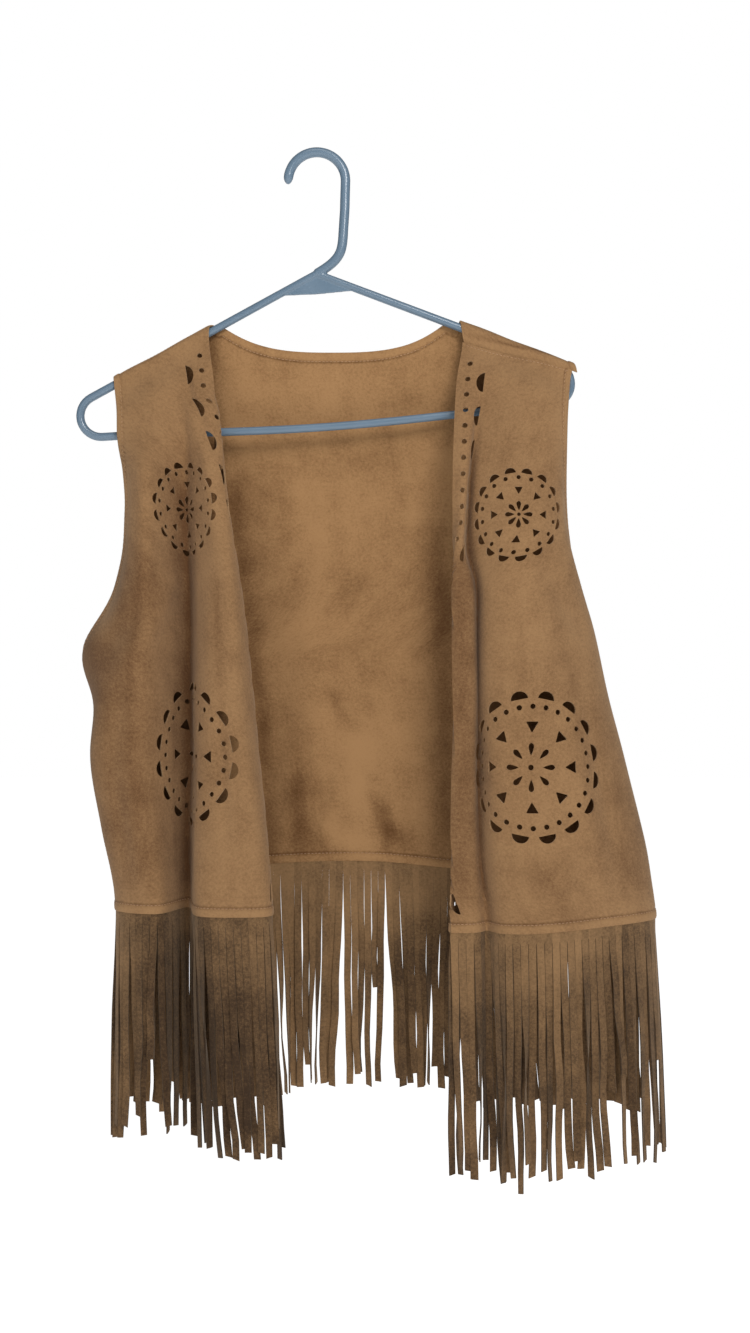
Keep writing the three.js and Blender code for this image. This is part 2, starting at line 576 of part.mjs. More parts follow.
// Fringe: a strip just under the panel's hem, slit into strands that hang from it. Neighbours swing
// a little outwards and inwards in turn, and the whole row sways and flares with the cloth above it.
function fringeMesh(name, panel, { length, flareStart, flareEnd }) {
  const section = panel.sectionAt(panel.hem(panel.tipX()));
  const count = Math.floor((section.length - SEAM) / STRAND.pitch);
  const margin = (section.length - count * STRAND.pitch) / 2;
  const points = [];
  const faces = [];
  const quad = (a, b, c, d) => faces.push([a, b, c], [a, c, d]);
  const frameAt = (a) => {
    const origin = section.at(a);
    const along = section.at(a + 0.5).sub(section.at(a - 0.5)).setZ(0).normalize();
    const out = new THREE.Vector3(along.y, -along.x, 0);
    return { origin, along, out: panel.flips() ? out.negate() : out };
  };
  for (let i = 0; i < count; i += 1) {
    const middle = margin + (i + 0.5) * STRAND.pitch;
    const { along, out } = frameAt(middle);
    const hem = panel.hem(section.at(middle).x) - SEAM;
    const half = STRAND.width / 2;
    // Top of the strip, then its lower edge, at both sides of the strand, outer face before inner
    [hem, hem - STRAND.strip].forEach((z) => [middle - half, middle + half].forEach((a) => {
      const edge = frameAt(a);
      [1, -1].forEach((face) => {
        points.push(edge.origin.clone().setZ(z).addScaledVector(edge.out, face * STRAND.thick / 2));
      });
    }));
    const base = 12 * i;
    const [lowLeft, lowRight] = [base + 4, base + 6];
    const wave = (name) => FRINGE_WAVES[name].reduce((sum, { size, length: reach }) => (
      sum + size * Math.sin(middle / reach)
    ), 0);
    const turn = wave('turn');
    const tip = section.at(middle).setZ(hem - STRAND.strip - length - wave('drop'));
    tip.x += lerp(flareStart, flareEnd, middle / section.length);
    tip.addScaledVector(along, wave('sway'));
    tip.addScaledVector(out, (i % 2 ? 1 : -1) * STRAND.stagger + wave('billow'));
    const wide = along.clone().applyAxisAngle(new THREE.Vector3(0, 0, 1), turn);
    const thick = out.clone().applyAxisAngle(new THREE.Vector3(0, 0, 1), turn);
    [-1, 1].forEach((side) => [1, -1].forEach((face) => {
      const corner = tip.clone().addScaledVector(wide, side * STRAND.tip / 2);
      points.push(corner.addScaledVector(thick, face * STRAND.thick / 2));
    }));
    quad(base, lowLeft, lowRight, base + 2);
    quad(base + 1, base + 3, lowRight + 1, lowLeft + 1);
    quad(base, base + 2, base + 3, base + 1);
    const end = base + 8;
    quad(lowLeft, end, end + 2, lowRight);
    quad(lowRight + 1, end + 3, end + 1, lowLeft + 1);
    quad(lowLeft + 1, end + 1, end, lowLeft);
    quad(lowRight, end + 2, end + 3, lowRight + 1);
    quad(end, end + 1, end + 3, end + 2);
    if (i === 0) quad(base, base + 1, base + 5, base + 4);
    if (i === count - 1) quad(base + 2, base + 6, base + 7, base + 3);
    if (i > 0) {
      const last = base - 12;
      quad(last + 2, last + 6, base + 4, base);
      quad(last + 3, base + 1, base + 5, last + 7);
      quad(last + 2, base, base + 1, last + 3);
      quad(last + 6, last + 7, base + 5, base + 4);
    }
  }
  return solid(name, points, faces, fringeSuede);
}

// Round tube along a curve
function tubeGeometry(curve, steps, radius = TUBE) {
  const sides = 8;
  const ring = polygonOutline(sides, radius, Math.PI / sides).map(([x, y]) => new THREE.Vector2(x, y));
  return new THREE.ExtrudeGeometry(new THREE.Shape(ring), { steps, extrudePath: curve, bevelEnabled: false });
}

function named(name, geometry, material) {
  const mesh = new THREE.Mesh(geometry, material);
  mesh.name = name;
  return mesh;
}

// A point of the hanger's frame, tilted about the hook
function framePoint(x, z) {
  const point = new THREE.Vector2(x, z).rotateAround(new THREE.Vector2(), tilt);
  return new THREE.Vector3(point.x, 0, point.y);
}

// The loops at the hanger's ends are as large as fits between the arm and the bar
const armSlope = degToRad(ARM_SLOPE);
const loopRadius = (BAR_DROP - HALF_WIDTH * Math.tan(armSlope))
  / (1 / Math.cos(armSlope) + 1 - Math.tan(armSlope));
const loopCentre = { x: HALF_WIDTH - loopRadius, z: APEX.z - BAR_DROP + loopRadius };

// Centre line of an end loop, from the arm (share 0) round to the bar (share 1)
class LoopCurve extends THREE.Curve {
  constructor(side) {
    super();
    this.side = side;
  }

  getPoint(share) {
    const angle = lerp(Math.PI / 2 - armSlope, -Math.PI / 2, share);
    const x = loopCentre.x + loopRadius * Math.cos(angle);
    return framePoint(APEX.x + this.side * x, loopCentre.z + loopRadius * Math.sin(angle));
  }
}

// Centre line of the bar, which sags from one loop to the other
class BarCurve extends THREE.Curve {
  getPoint(share) {
    const across = lerp(-1, 1, share);
    const z = APEX.z - BAR_DROP - BAR_SAG * (1 - across ** 2) ** 2;
    return framePoint(APEX.x + across * (loopCentre.x - SEAM), z);
  }
}

function armLine(side) {
  const foot = new LoopCurve(side).getPoint(0);
  const head = framePoint(APEX.x, APEX.z);
  const shortened = foot.clone().lerp(head, SEAM / foot.distanceTo(head));
  return new THREE.LineCurve3(head, shortened);
}

function hookCurve() {
  const points = [];
  const centreZ = HOOK_TUBE - HOOK_RADIUS;
  const arcSteps = 12;
  for (let i = 0; i <= arcSteps; i += 1) {
    const angle = degToRad(lerp(HOOK_SWEEP, 0, i / arcSteps));
    points.push([HOOK_RADIUS * Math.cos(angle), centreZ + HOOK_RADIUS * Math.sin(angle)]);
  }
  const head = framePoint(APEX.x, APEX.z);
  points.push(...SHAFT, [head.x, head.z]);
  return new THREE.CatmullRomCurve3(points.map(([x, z]) => new THREE.Vector3(x, 0, z)));
}

function hangerMeshes() {
  const hook = tubeGeometry(hookCurve(), 28, HOOK_TUBE);
  const keepOff = toManifold(tubeGeometry(hookCurve(), 28, HOOK_TUBE + SEAM));
  const leftArm = tubeGeometry(armLine(-1), 1);
  const rightArm = tubeGeometry(armLine(1), 1);
  const leftRoom = toManifold(tubeGeometry(armLine(-1), 1, TUBE + SEAM));
  const rightRoom = toManifold(tubeGeometry(armLine(1), 1, TUBE + SEAM));
  const leftCut = toManifold(leftArm).subtract(keepOff);
  const rightCut = toManifold(rightArm).subtract(keepOff).subtract(leftRoom);
  const web = new THREE.Shape([
    new THREE.Vector2(0, 0),
    new THREE.Vector2(-GUSSET.halfWidth, -GUSSET.height),
    new THREE.Vector2(0, -GUSSET.height - GUSSET.bow),
    new THREE.Vector2(GUSSET.halfWidth, -GUSSET.height),
  ]);
  const plate = new THREE.ExtrudeGeometry(web, { depth: GUSSET.thickness, bevelEnabled: false });
  plate.translate(0, 0, -GUSSET.thickness / 2).rotateX(Math.PI / 2).rotateY(-tilt);
  const head = framePoint(APEX.x, APEX.z);
  plate.translate(head.x, 0, head.z);
  const webCut = toManifold(plate).subtract(keepOff).subtract(leftRoom).subtract(rightRoom);
  return [
    named('hanger_hook', hook, plastic),
    named('hanger_arm_left', fromManifold(leftCut), plastic),
    named('hanger_arm_right', fromManifold(rightCut), plastic),
    named('hanger_gusset', fromManifold(webCut), plastic),
    named('hanger_loop_left', tubeGeometry(new LoopCurve(-1), 8), plastic),
    named('hanger_loop_right', tubeGeometry(new LoopCurve(1), 8), plastic),
    named('hanger_bar', tubeGeometry(new BarCurve(), 8), plastic),
  ];
}

function vestMeshes() {
  const cuts = ({ upper, lower, first }) => [
    ...rosette('upper', upper),
    ...rosette('lower', lower),
    ...border(first),
  ];
  return [
    panelMesh('back', back, []),
    panelMesh('front_left', leftFront, cuts(CUTS_LEFT)),
    panelMesh('front_right', rightFront, cuts(CUTS_RIGHT)),
    fringeMesh('fringe_back', back, { length: 186, flareStart: -1, flareEnd: 9 }),
    fringeMesh('fringe_front_left', leftFront, { length: 178, flareStart: 10, flareEnd: -2 }),
    fringeMesh('fringe_front_right', rightFront, { length: 184, flareStart: 3, flareEnd: 9 }),
  ];
}

const vest = new THREE.Group();
vest.add(...hangerMeshes(), ...vestMeshes());

export default vest;
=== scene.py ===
# A fringed suede vest with cut-out rosettes, hanging open on a moulded tube hanger.
# Metres, +Z up, and the vest's front faces -Y. Left and right are as seen from the front.
# The cloth's own measures are in millimetres until its mesh is made.
import math
import random

import bpy
import numpy as np
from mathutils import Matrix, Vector
from mathutils.geometry import delaunay_2d_cdt


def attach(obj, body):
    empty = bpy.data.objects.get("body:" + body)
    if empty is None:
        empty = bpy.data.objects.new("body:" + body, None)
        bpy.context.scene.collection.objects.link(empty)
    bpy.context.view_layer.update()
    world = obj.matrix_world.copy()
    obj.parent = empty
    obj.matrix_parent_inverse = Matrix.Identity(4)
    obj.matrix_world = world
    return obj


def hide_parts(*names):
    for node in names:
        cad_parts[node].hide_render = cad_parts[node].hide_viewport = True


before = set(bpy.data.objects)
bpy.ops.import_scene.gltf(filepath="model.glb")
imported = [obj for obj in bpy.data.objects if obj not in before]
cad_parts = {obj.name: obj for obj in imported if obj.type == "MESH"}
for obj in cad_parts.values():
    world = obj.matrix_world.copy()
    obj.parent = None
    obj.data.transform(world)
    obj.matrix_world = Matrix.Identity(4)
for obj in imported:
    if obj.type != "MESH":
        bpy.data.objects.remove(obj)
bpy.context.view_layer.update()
bpy.ops.object.select_all(action='DESELECT')

# Camera: level, a little over a metre in front of the vest, as the picture was taken.
# It stands on its own and no piece is placed by it.
CAMERA_PLACE = (0.0487, -1.250, -0.4267)
SENSOR_HEIGHT = 24.0
FOCAL_PER_HEIGHT = 1492.0 / 1333.0

bpy.ops.object.camera_add(location=CAMERA_PLACE, rotation=(math.pi / 2, 0, 0))
camera = bpy.context.object
camera.data.sensor_fit = 'VERTICAL'
camera.data.sensor_height = SENSOR_HEIGHT
camera.data.lens = SENSOR_HEIGHT * FOCAL_PER_HEIGHT
bpy.context.scene.camera = camera
bpy.context.scene.view_settings.view_transform = 'Standard'


# Hanger: one moulding of blue-grey plastic tube. The hook's bent shaft meets the two arms at the apex,
# a thin web stiffens them below it, and a loop at each end joins the arm to the sagging bar.
MM = 0.001
TUBE = 3.5
HOOK_TUBE = 4.1
HOOK_RADIUS = 24.0
HOOK_SWEEP = 186.0
SHAFT = [(23.3, -45.0), (22.3, -60.0), (21.6, -72.0), (19.6, -80.5), (14.5, -87.5), (7.5, -93.0)]
APEX = (-7.2, -97.5)
HANGER_TILT = math.radians(4.1)
ARM_SLOPE = math.radians(24.7)
HALF_WIDTH = 206.0
BAR_DROP = 123.5
BAR_SAG = 5.0
WEB = {'half_width': 34.0, 'height': 17.0, 'thickness': 3.0}
LOOP_STEPS = 16
BAR_STEPS = 40
HOOK_STEPS = 40
MOULD_CELL = 0.0007


class Tone:
    """A shader value. Arithmetic on it adds Math nodes to its finish."""

    def __init__(self, finish, socket):
        self.finish = finish
        self.socket = socket

    def combine(self, operation, first, second):
        node = self.finish.node('ShaderNodeMath', {'operation': operation}, {0: first, 1: second})
        return Tone(self.finish, node.outputs[0])

    def __add__(self, other):
        return self.combine('ADD', self, other)

    def __radd__(self, other):
        return self.combine('ADD', other, self)

    def __sub__(self, other):
        return self.combine('SUBTRACT', self, other)

    def __rsub__(self, other):
        return self.combine('SUBTRACT', other, self)

    def __mul__(self, other):
        return self.combine('MULTIPLY', self, other)

    def __rmul__(self, other):
        return self.combine('MULTIPLY', other, self)


class Finish:
    """A material in the making: its nodes, and the sockets of its one surface shader."""

    def __init__(self, name):
        self.material = bpy.data.materials.new(name)
        self.material.use_nodes = True
        self.tree = self.material.node_tree
        self.shader = self.tree.nodes['Principled BSDF']

    def feed(self, socket, value):
        if isinstance(value, Tone):
            self.tree.links.new(value.socket, socket)
        elif isinstance(value, bpy.types.NodeSocket):
            self.tree.links.new(value, socket)
        else:
            socket.default_value = value

    def node(self, kind, settings, inputs):
        node = self.tree.nodes.new(kind)
        for name, value in settings.items():
            setattr(node, name, value)
        for key, value in inputs.items():
            self.feed(node.inputs[key], value)
        return node

    def surface(self, **sockets):
        for name, value in sockets.items():
            self.feed(self.shader.inputs[name.replace('_', ' ')], value)

    def places(self):
        return self.node('ShaderNodeTexCoord', {}, {}).outputs['Object']

    def weave_places(self):
        return self.node('ShaderNodeTexCoord', {}, {}).outputs['UV']

    def stretched(self, vector, scale):
        return self.node('ShaderNodeMapping', {}, {'Vector': vector, 'Scale': scale}).outputs['Vector']

    def attribute(self, name):
        return Tone(self, self.node('ShaderNodeAttribute', {'attribute_name': name}, {}).outputs['Fac'])

    def noise(self, vector, scale, detail=2.0, roughness=0.5):
        inputs = {'Vector': vector, 'Scale': scale, 'Detail': detail, 'Roughness': roughness}
        return Tone(self, self.node('ShaderNodeTexNoise', {}, inputs).outputs[0])

    def spread(self, value, low, high):
        settings = {'clamp': True, 'interpolation_type': 'SMOOTHSTEP'}
        inputs = {'Value': value, 'From Min': low, 'From Max': high}
        return Tone(self, self.node('ShaderNodeMapRange', settings, inputs).outputs['Result'])

    def blend(self, share, first, second):
        node = self.node('ShaderNodeMix', {'data_type': 'RGBA'}, {0: share, 6: first, 7: second})
        return node.outputs[2]

    def bump(self, height, distance, strength):
        inputs = {'Height': height, 'Distance': distance, 'Strength': strength}
        return self.node('ShaderNodeBump', {}, inputs).outputs['Normal']


def rgb(red, green, blue):
    return (red, green, blue, 1.0)


def tilted(x, z):
    cosine = math.cos(HANGER_TILT)
    sine = math.sin(HANGER_TILT)
    return (x * cosine - z * sine, 0.0, x * sine + z * cosine)


def bent_tube(name, path, thickness, closed):
    """A round tube along a path of points, with its thickness at each as a share of the full one."""
    bpy.ops.curve.primitive_bezier_curve_add()
    tube = bpy.context.object
    tube.name = name
    tube.data.dimensions = '3D'
    tube.data.bevel_depth = HOOK_TUBE * MM
    tube.data.bevel_resolution = 5
    tube.data.use_fill_caps = True
    tube.data.splines.clear()
    spline = tube.data.splines.new('POLY')
    spline.points.add(len(path) - 1)
    for point, place, share in zip(spline.points, path, thickness):
        point.co = (place[0] * MM, place[1] * MM, place[2] * MM, 1.0)
        point.radius = share
    spline.use_cyclic_u = closed
    bpy.ops.object.convert(target='MESH')
    return bpy.context.object


def softened(points, rounds):
    """An open path with its corners cut again and again, both ends kept."""
    for _ in range(rounds):
        cut = [points[0]]
        for first, second in zip(points, points[1:]):
            for share in (0.25, 0.75):
                cut.append(tuple(a + (b - a) * share for a, b in zip(first, second)))
        points = cut + [points[-1]]
    return points


arm_fall = math.tan(ARM_SLOPE)
loop_radius = (BAR_DROP - HALF_WIDTH * arm_fall) / (1 / math.cos(ARM_SLOPE) + 1 - arm_fall)
loop_x = HALF_WIDTH - loop_radius
loop_z = APEX[1] - BAR_DROP + loop_radius
apex = tilted(*APEX)


def loop_points(side):
    points = []
    for step in range(LOOP_STEPS + 1):
        angle = math.pi / 2 - ARM_SLOPE - (math.pi - ARM_SLOPE) * step / LOOP_STEPS
        x = APEX[0] + side * (loop_x + loop_radius * math.cos(angle))
        points.append(tilted(x, loop_z + loop_radius * math.sin(angle)))
    return points


def bar_points():
    points = []
    for step in range(1, BAR_STEPS):
        across = -1 + 2 * step / BAR_STEPS
        sag = BAR_SAG * (1 - across ** 2) ** 2
        points.append(tilted(APEX[0] + across * loop_x, APEX[1] - BAR_DROP - sag))
    return points


hook_path = []
for step in range(HOOK_STEPS + 1):
    angle = math.radians(HOOK_SWEEP * (1 - step / HOOK_STEPS))
    height = HOOK_TUBE - HOOK_RADIUS + HOOK_RADIUS * math.sin(angle)
    hook_path.append((HOOK_RADIUS * math.cos(angle), 0.0, height))
hook_path += softened([(x, 0.0, z) for x, z in SHAFT] + [apex], 3)
tip_shares = [0.35, 0.72, 0.92]
hook = bent_tube('hanger', hook_path, tip_shares + [1.0] * (len(hook_path) - len(tip_shares)), False)

frame_path = [apex] + loop_points(-1) + bar_points() + loop_points(1)[::-1]
hanger_frame = bent_tube('hanger_frame', frame_path, [TUBE / HOOK_TUBE] * len(frame_path), True)

bpy.ops.mesh.primitive_plane_add(size=1)
web = bpy.context.object
foot = -WEB['height']
corners = [(-WEB['half_width'], foot + 1), (0, foot), (0, -1), (WEB['half_width'], foot + 1)]
places = [tilted(APEX[0] + x, APEX[1] + z) for x, z in corners]
for vertex, place in zip(web.data.vertices, places):
    vertex.co = (place[0] * MM, -WEB['thickness'] / 2 * MM, place[2] * MM)
bpy.ops.object.modifier_add(type='SOLIDIFY')
web.modifiers['Solidify'].thickness = WEB['thickness'] * MM
web.modifiers['Solidify'].offset = -1.0
bpy.ops.object.modifier_apply(modifier='Solidify')
bpy.ops.object.mode_set(mode='EDIT')
bpy.ops.mesh.select_all(action='SELECT')
bpy.ops.mesh.normals_make_consistent(inside=False)
bpy.ops.object.mode_set(mode='OBJECT')

for piece in (hook, hanger_frame, web):
    piece.select_set(True)
bpy.context.view_layer.objects.active = hook
bpy.ops.object.join()
bpy.ops.object.modifier_add(type='REMESH')
hook.modifiers['Remesh'].mode = 'VOXEL'
hook.modifiers['Remesh'].voxel_size = MOULD_CELL
bpy.ops.object.modifier_apply(modifier='Remesh')
bpy.ops.object.modifier_add(type='SMOOTH')
hook.modifiers['Smooth'].iterations = 3
bpy.ops.object.modifier_apply(modifier='Smooth')
bpy.ops.object.transform_apply(location=True, rotation=True, scale=True)
bpy.ops.object.shade_smooth()

plastic = Finish('moulded_plastic')
where = plastic.places()
cloudy = plastic.noise(where, 38.0, 2.0)
scuffs = plastic.spread(plastic.noise(plastic.stretched(where, (60.0, 60.0, 420.0)), 1.0, 3.0, 0.7), 0.6, 0.8)
tint = plastic.blend(cloudy, rgb(0.112, 0.170, 0.230), rgb(0.145, 0.208, 0.275))
plastic.surface(
    Base_Color=plastic.blend(scuffs * 0.12, tint, rgb(0.36, 0.44, 0.51)),
    Roughness=0.16 + cloudy * 0.12 + scuffs * 0.15,
    Normal=plastic.bump(plastic.noise(where, 120.0, 2.0), 0.0003, 0.12),
    IOR=1.49,
)
hook.data.materials.clear()
hook.data.materials.append(plastic.material)
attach(hook, "root")
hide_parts("hanger_hook", "hanger_arm_left", "hanger_arm_right", "hanger_gusset", "hanger_loop_left",
            "hanger_loop_right", "hanger_bar")


# Suede panels: two fronts and a back of thin tan suede, cut to a pattern, sewn at the shoulders and
# sides and hung over the hanger's arms. Their folds are drawn as level sections, [x, y] in mm, from
# the front edge to the side seam, and the cloth follows them by its own length, so it never stretches.
WALL = 1.3
ROLL = TUBE + 0.8 + 0.8
SETTLE = 34.0
NECK_LEFT = -92.0
NECK_RIGHT = 123.5
NECK_DIP = -161.5
NECK_FLATNESS = 3.1
NECK_WRAP = (12.0, 6.0)
NECK_ENDS = (-80.0, 108.0)
LAP_NECK = 13.0
LAP_TIP = 2.0
UNDERARM_LEFT = -417.0
UNDERARM_RIGHT = -402.0
HEM_LEFT = -629.0
HEM_RIGHT = (-641.0, -635.0)
HEM_BACK = (-603.0, 8.0)
CHEST_LEVEL = -300.0
CELL_ACROSS = 3.3
CELL_DOWN = 4.2
REACH = 520
LEVEL_STEP = 2.0
PATH_STEPS = 6


def eased(value, low, high):
    share = np.clip((value - low) / (high - low), 0.0, 1.0)
    return share * share * (3.0 - 2.0 * share)


def between(low, high, share):
    return low + (high - low) * share


class Stations:
    """A table of sections, each a height and its named places, as smooth curves down the garment."""

    def __init__(self, names, rows):
        self.names = names
        self.depths = [-z for z, *_ in rows]
        self.values = [np.array(places, float) for _, *places in rows]

    def all(self, z):
        depth = min(max(-z, self.depths[0]), self.depths[-1])
        last = len(self.depths) - 1
        i = max(k for k in range(last) if self.depths[k] <= depth)
        step = self.depths[i + 1] - self.depths[i]
        here, there = self.values[i], self.values[i + 1]
        if i > 0:
            before, before_step = self.values[i - 1], self.depths[i] - self.depths[i - 1]
        else:
            before, before_step = there, step
        if i + 2 <= last:
            after, after_step = self.values[i + 2], self.depths[i + 2] - self.depths[i + 1]
        else:
            after, after_step = here, step
        weight_before = step / 2 / before_step
        weight_after = step / 2 / after_step
        p = (depth - self.depths[i]) / step
        return (before * (-weight_before * p ** 3 + 2 * weight_before * p ** 2 - weight_before * p)
                + here * ((1 + weight_before) * p ** 3 - (1.5 + 2 * weight_before) * p ** 2
                          + (weight_before - 0.5) * p + 1)
                + there * (-(1 + weight_after) * p ** 3 + (1.5 + weight_after) * p ** 2 + 0.5 * p)
                + after * (weight_after * p ** 3 - weight_after * p ** 2))

    def at(self, name, z):
        return self.all(z)[self.names.index(name)]


left_stations = Stations(('edge', 'under', 'roll', 'lobe', 'wall', 'valley', 'crest', 'turn', 'side'), [
    (-150, (-90, -8), (-94, -8), (-99, -9), (-106, -9), (-113, -9), (-120, -9), (-141, -9), (-162, -8),
     (-171, -7)),
    (-190, (-85, -14), (-89, -15), (-94, -16), (-100, -16), (-107, -15), (-114, -14), (-138, -15),
     (-159, -11), (-169, -7)),
    (-214, (-84, -16), (-81, -19), (-88, -23), (-96, -23), (-104, -20), (-112, -16), (-137, -18),
     (-157, -13), (-166, -8)),
    (-235, (-84, -15), (-78, -21), (-84, -26), (-92, -27), (-101, -23), (-109, -17), (-136, -22),
     (-156, -15), (-165, -9)),
    (-265, (-84, -10), (-75, -21), (-79, -29), (-88, -29), (-100, -17), (-110, -7), (-138, -33),
     (-151, -25), (-160, -11)),
    (-296, (-82, -10), (-71, -24), (-75, -31), (-84, -31), (-98, -17), (-110, -5), (-138, -36),
     (-150, -28), (-158, -12)),
    (-360, (-73, -8), (-62, -22), (-68, -40), (-79, -38), (-96, -22), (-108, 2), (-137, -38),
     (-156, -28), (-168, -5)),
    (-417, (-66, -7), (-55, -22), (-63, -42), (-75, -42), (-95, -28), (-108, 6), (-140, -36),
     (-171, -25), (-197, 8)),
    (-462, (-61, -7), (-50, -22), (-60, -44), (-72, -46), (-95, -31), (-108, 8), (-142, -35),
     (-178, -23), (-186, 14)),
    (-500, (-58, -8), (-47, -22), (-55, -45), (-71, -45), (-94, -32), (-108, 8), (-142, -35),
     (-183, -22), (-185, 16)),
    (-560, (-52, -12), (-41, -26), (-47, -44), (-70, -46), (-95, -34), (-109, 8), (-136, -32),
     (-174, -20), (-177, 20)),
    (-629, (-46, -22), (-35, -34), (-41, -45), (-66, -48), (-94, -42), (-108, 5), (-130, -30),
     (-163, -16), (-166, 24)),
])

right_stations = Stations(('edge', 'roll', 'strip', 'valley', 'bank', 'crest', 'outer', 'turn', 'side'), [
    (-150, (122, -9), (130, -9.5), (136, -10), (142, -10), (149, -10), (162, -10), (186, -10), (208, -9),
     (219, -8)),
    (-190, (116.5, -16), (125, -18), (131, -18), (138, -17), (146, -17), (164, -19), (189, -17),
     (203, -13), (211, -9)),
    (-235, (113.5, -28), (122, -31), (127, -29.5), (131, -23), (138, -27), (162, -32), (187, -29),
     (200, -22), (207, -14)),
    (-305, (112, -34), (118.5, -40), (121.5, -39), (125, -27), (130, -33), (158, -47), (183, -43),
     (201.5, -30), (208, -12)),
    (-335, (114, -31), (113, -42), (119.5, -42.5), (124.5, -29), (133, -38), (158, -51), (185, -46),
     (209, -27), (212, -5)),
    (-358, (128, -26), (111.5, -43.5), (126, -43), (131, -33), (138, -45), (158, -54), (188, -48),
     (217, -24), (217, 2)),
    (-402, (129, -26), (111.5, -45), (127, -43), (132, -34), (139, -50), (161, -58), (194, -50),
     (228, -22), (229, 12)),
    (-460, (130, -26), (111.5, -46), (127.5, -44), (132.5, -35), (141, -52), (164, -62), (205, -54),
     (241, -22), (240, 16)),
    (-507, (130, -26), (111.5, -46), (127.5, -44), (132.5, -35), (143, -56), (168, -64), (211, -57),
     (253, -22), (251, 18)),
    (-575, (129, -28), (110.5, -48), (128, -46), (134, -38), (146, -56), (172, -65), (222, -56),
     (271, -20), (267, 20)),
    (-600, (126, -31), (110, -48), (129, -47), (136, -39), (148, -57), (174, -66), (225, -54),
     (275, -19), (271, 21)),
    (-638, (117, -40), (109, -48), (131, -50), (139, -42), (150, -58), (176, -66), (229, -52),
     (279, -18), (275, 22)),
])

back_stations = Stations(
    ('left', 'leftTurn', 'fold1', 'fold2', 'fold3', 'fold4', 'fold5', 'fold6', 'rightTurn', 'right'), [
    (-150, (-171, 7), (-155, 8), (-105, 8), (-60, 9), (-10, 10), (35, 10), (80, 9), (128, 8), (190, 8),
     (219, 7)),
    (-190, (-169, 8), (-150, 11), (-104, 13), (-60, 14), (-10, 15), (35, 14), (82, 13), (128, 12),
     (178, 10), (209, 8)),
    (-235, (-160, 10), (-144, 15), (-102, 19), (-58, 21), (-10, 20), (36, 20), (84, 18), (126, 16),
     (174, 14), (207, 11)),
    (-296, (-150, 15), (-138, 20), (-100, 25), (-56, 30), (-10, 27), (38, 28), (86, 25), (126, 21),
     (176, 19), (205, 15)),
    (-360, (-158, 15), (-142, 24), (-98, 29), (-52, 36), (-8, 31), (42, 34), (90, 29), (130, 24),
     (184, 23), (215, 13)),
    (-402, (-184, 10), (-163, 26), (-96, 30), (-49, 39), (-6, 33), (45, 38), (95, 32), (134, 25),
     (200, 28), (229, 12)),
    (-417, (-197, 8), (-176, 28), (-95, 31), (-48, 40), (-5, 34), (46, 39), (96, 33), (137, 26),
     (206, 30), (232, 13)),
    (-460, (-186, 14), (-170, 32), (-94, 32), (-46, 42), (-4, 36), (48, 41), (98, 34), (142, 27),
     (216, 34), (240, 16)),
    (-500, (-185, 16), (-168, 34), (-93, 33), (-45, 43), (-2, 38), (50, 42), (100, 35), (146, 28),
     (226, 36), (250, 18)),
    (-560, (-177, 20), (-161, 37), (-92, 33), (-44, 44), (0, 40), (52, 44), (102, 36), (150, 29),
     (240, 39), (264, 20)),
    (-629, (-168, 24), (-152, 40), (-92, 32), (-42, 42), (4, 42), (56, 44), (106, 34), (156, 30),
     (252, 40), (276, 22)),
])


def run_on(end, previous, following, z, underarm):
    """Where an edge would run on to: straight ahead at an armhole, the next panel below it."""
    joined = 1 - eased(z, underarm, underarm + 40)
    return between(2 * end - previous, following, joined)


def left_section(z):
    points = left_stations.all(z)
    after = run_on(points[-1], points[-2], back_stations.at('leftTurn', z), z, UNDERARM_LEFT)
    return None, points, after


def right_section(z):
    points = right_stations.all(z)
    after = run_on(points[-1], points[-2], back_stations.at('rightTurn', z), z, UNDERARM_RIGHT)
    return None, points, after


def back_section(z):
    points = back_stations.all(z)
    if z < UNDERARM_LEFT:
        points[0] = left_stations.at('side', z)
    if z < UNDERARM_RIGHT:
        points[-1] = right_stations.at('side', z)
    before = run_on(points[0], points[1], left_stations.at('turn', z), z, UNDERARM_LEFT)
    after = run_on(points[-1], points[-2], right_stations.at('turn', z), z, UNDERARM_RIGHT)
    return before, points, after


CURVE_STEPS = 16


def drawn_curve(section):
    """A section's points as a smooth curve, closely sampled, with its length up to each sample."""
    before, points, after = section
    before = 2 * points[0] - points[1] if before is None else before
    run = [before, *points, after]
    samples = []
    for p0, p1, p2, p3 in zip(run, run[1:], run[2:], run[3:]):
        d0, d1, d2 = (max(np.linalg.norm(b - a), 0.01) ** 0.5 for a, b in ((p0, p1), (p1, p2), (p2, p3)))
        start = ((p1 - p0) / d0 - (p2 - p0) / (d0 + d1) + (p2 - p1) / d1) * d1
        end = ((p2 - p1) / d1 - (p3 - p1) / (d1 + d2) + (p3 - p2) / d2) * d1
        for step in range(CURVE_STEPS):
            t = step / CURVE_STEPS
            samples.append(p1 + start * t + (3 * (p2 - p1) - 2 * start - end) * t ** 2
                           + (2 * (p1 - p2) + start + end) * t ** 3)
    samples.append(points[-1])
    samples = np.array(samples)
    lengths = np.concatenate([[0.0], np.cumsum(np.linalg.norm(np.diff(samples, axis=0), axis=1))])
    return samples, lengths


def arm_top(x):
    """The ridge line that the cloth follows over each of the hanger's arms."""
    slope = np.where(x < apex[0], ARM_SLOPE + HANGER_TILT, ARM_SLOPE - HANGER_TILT)
    return apex[2] - np.abs(x - apex[0]) * np.tan(slope) + ROLL / np.cos(slope)


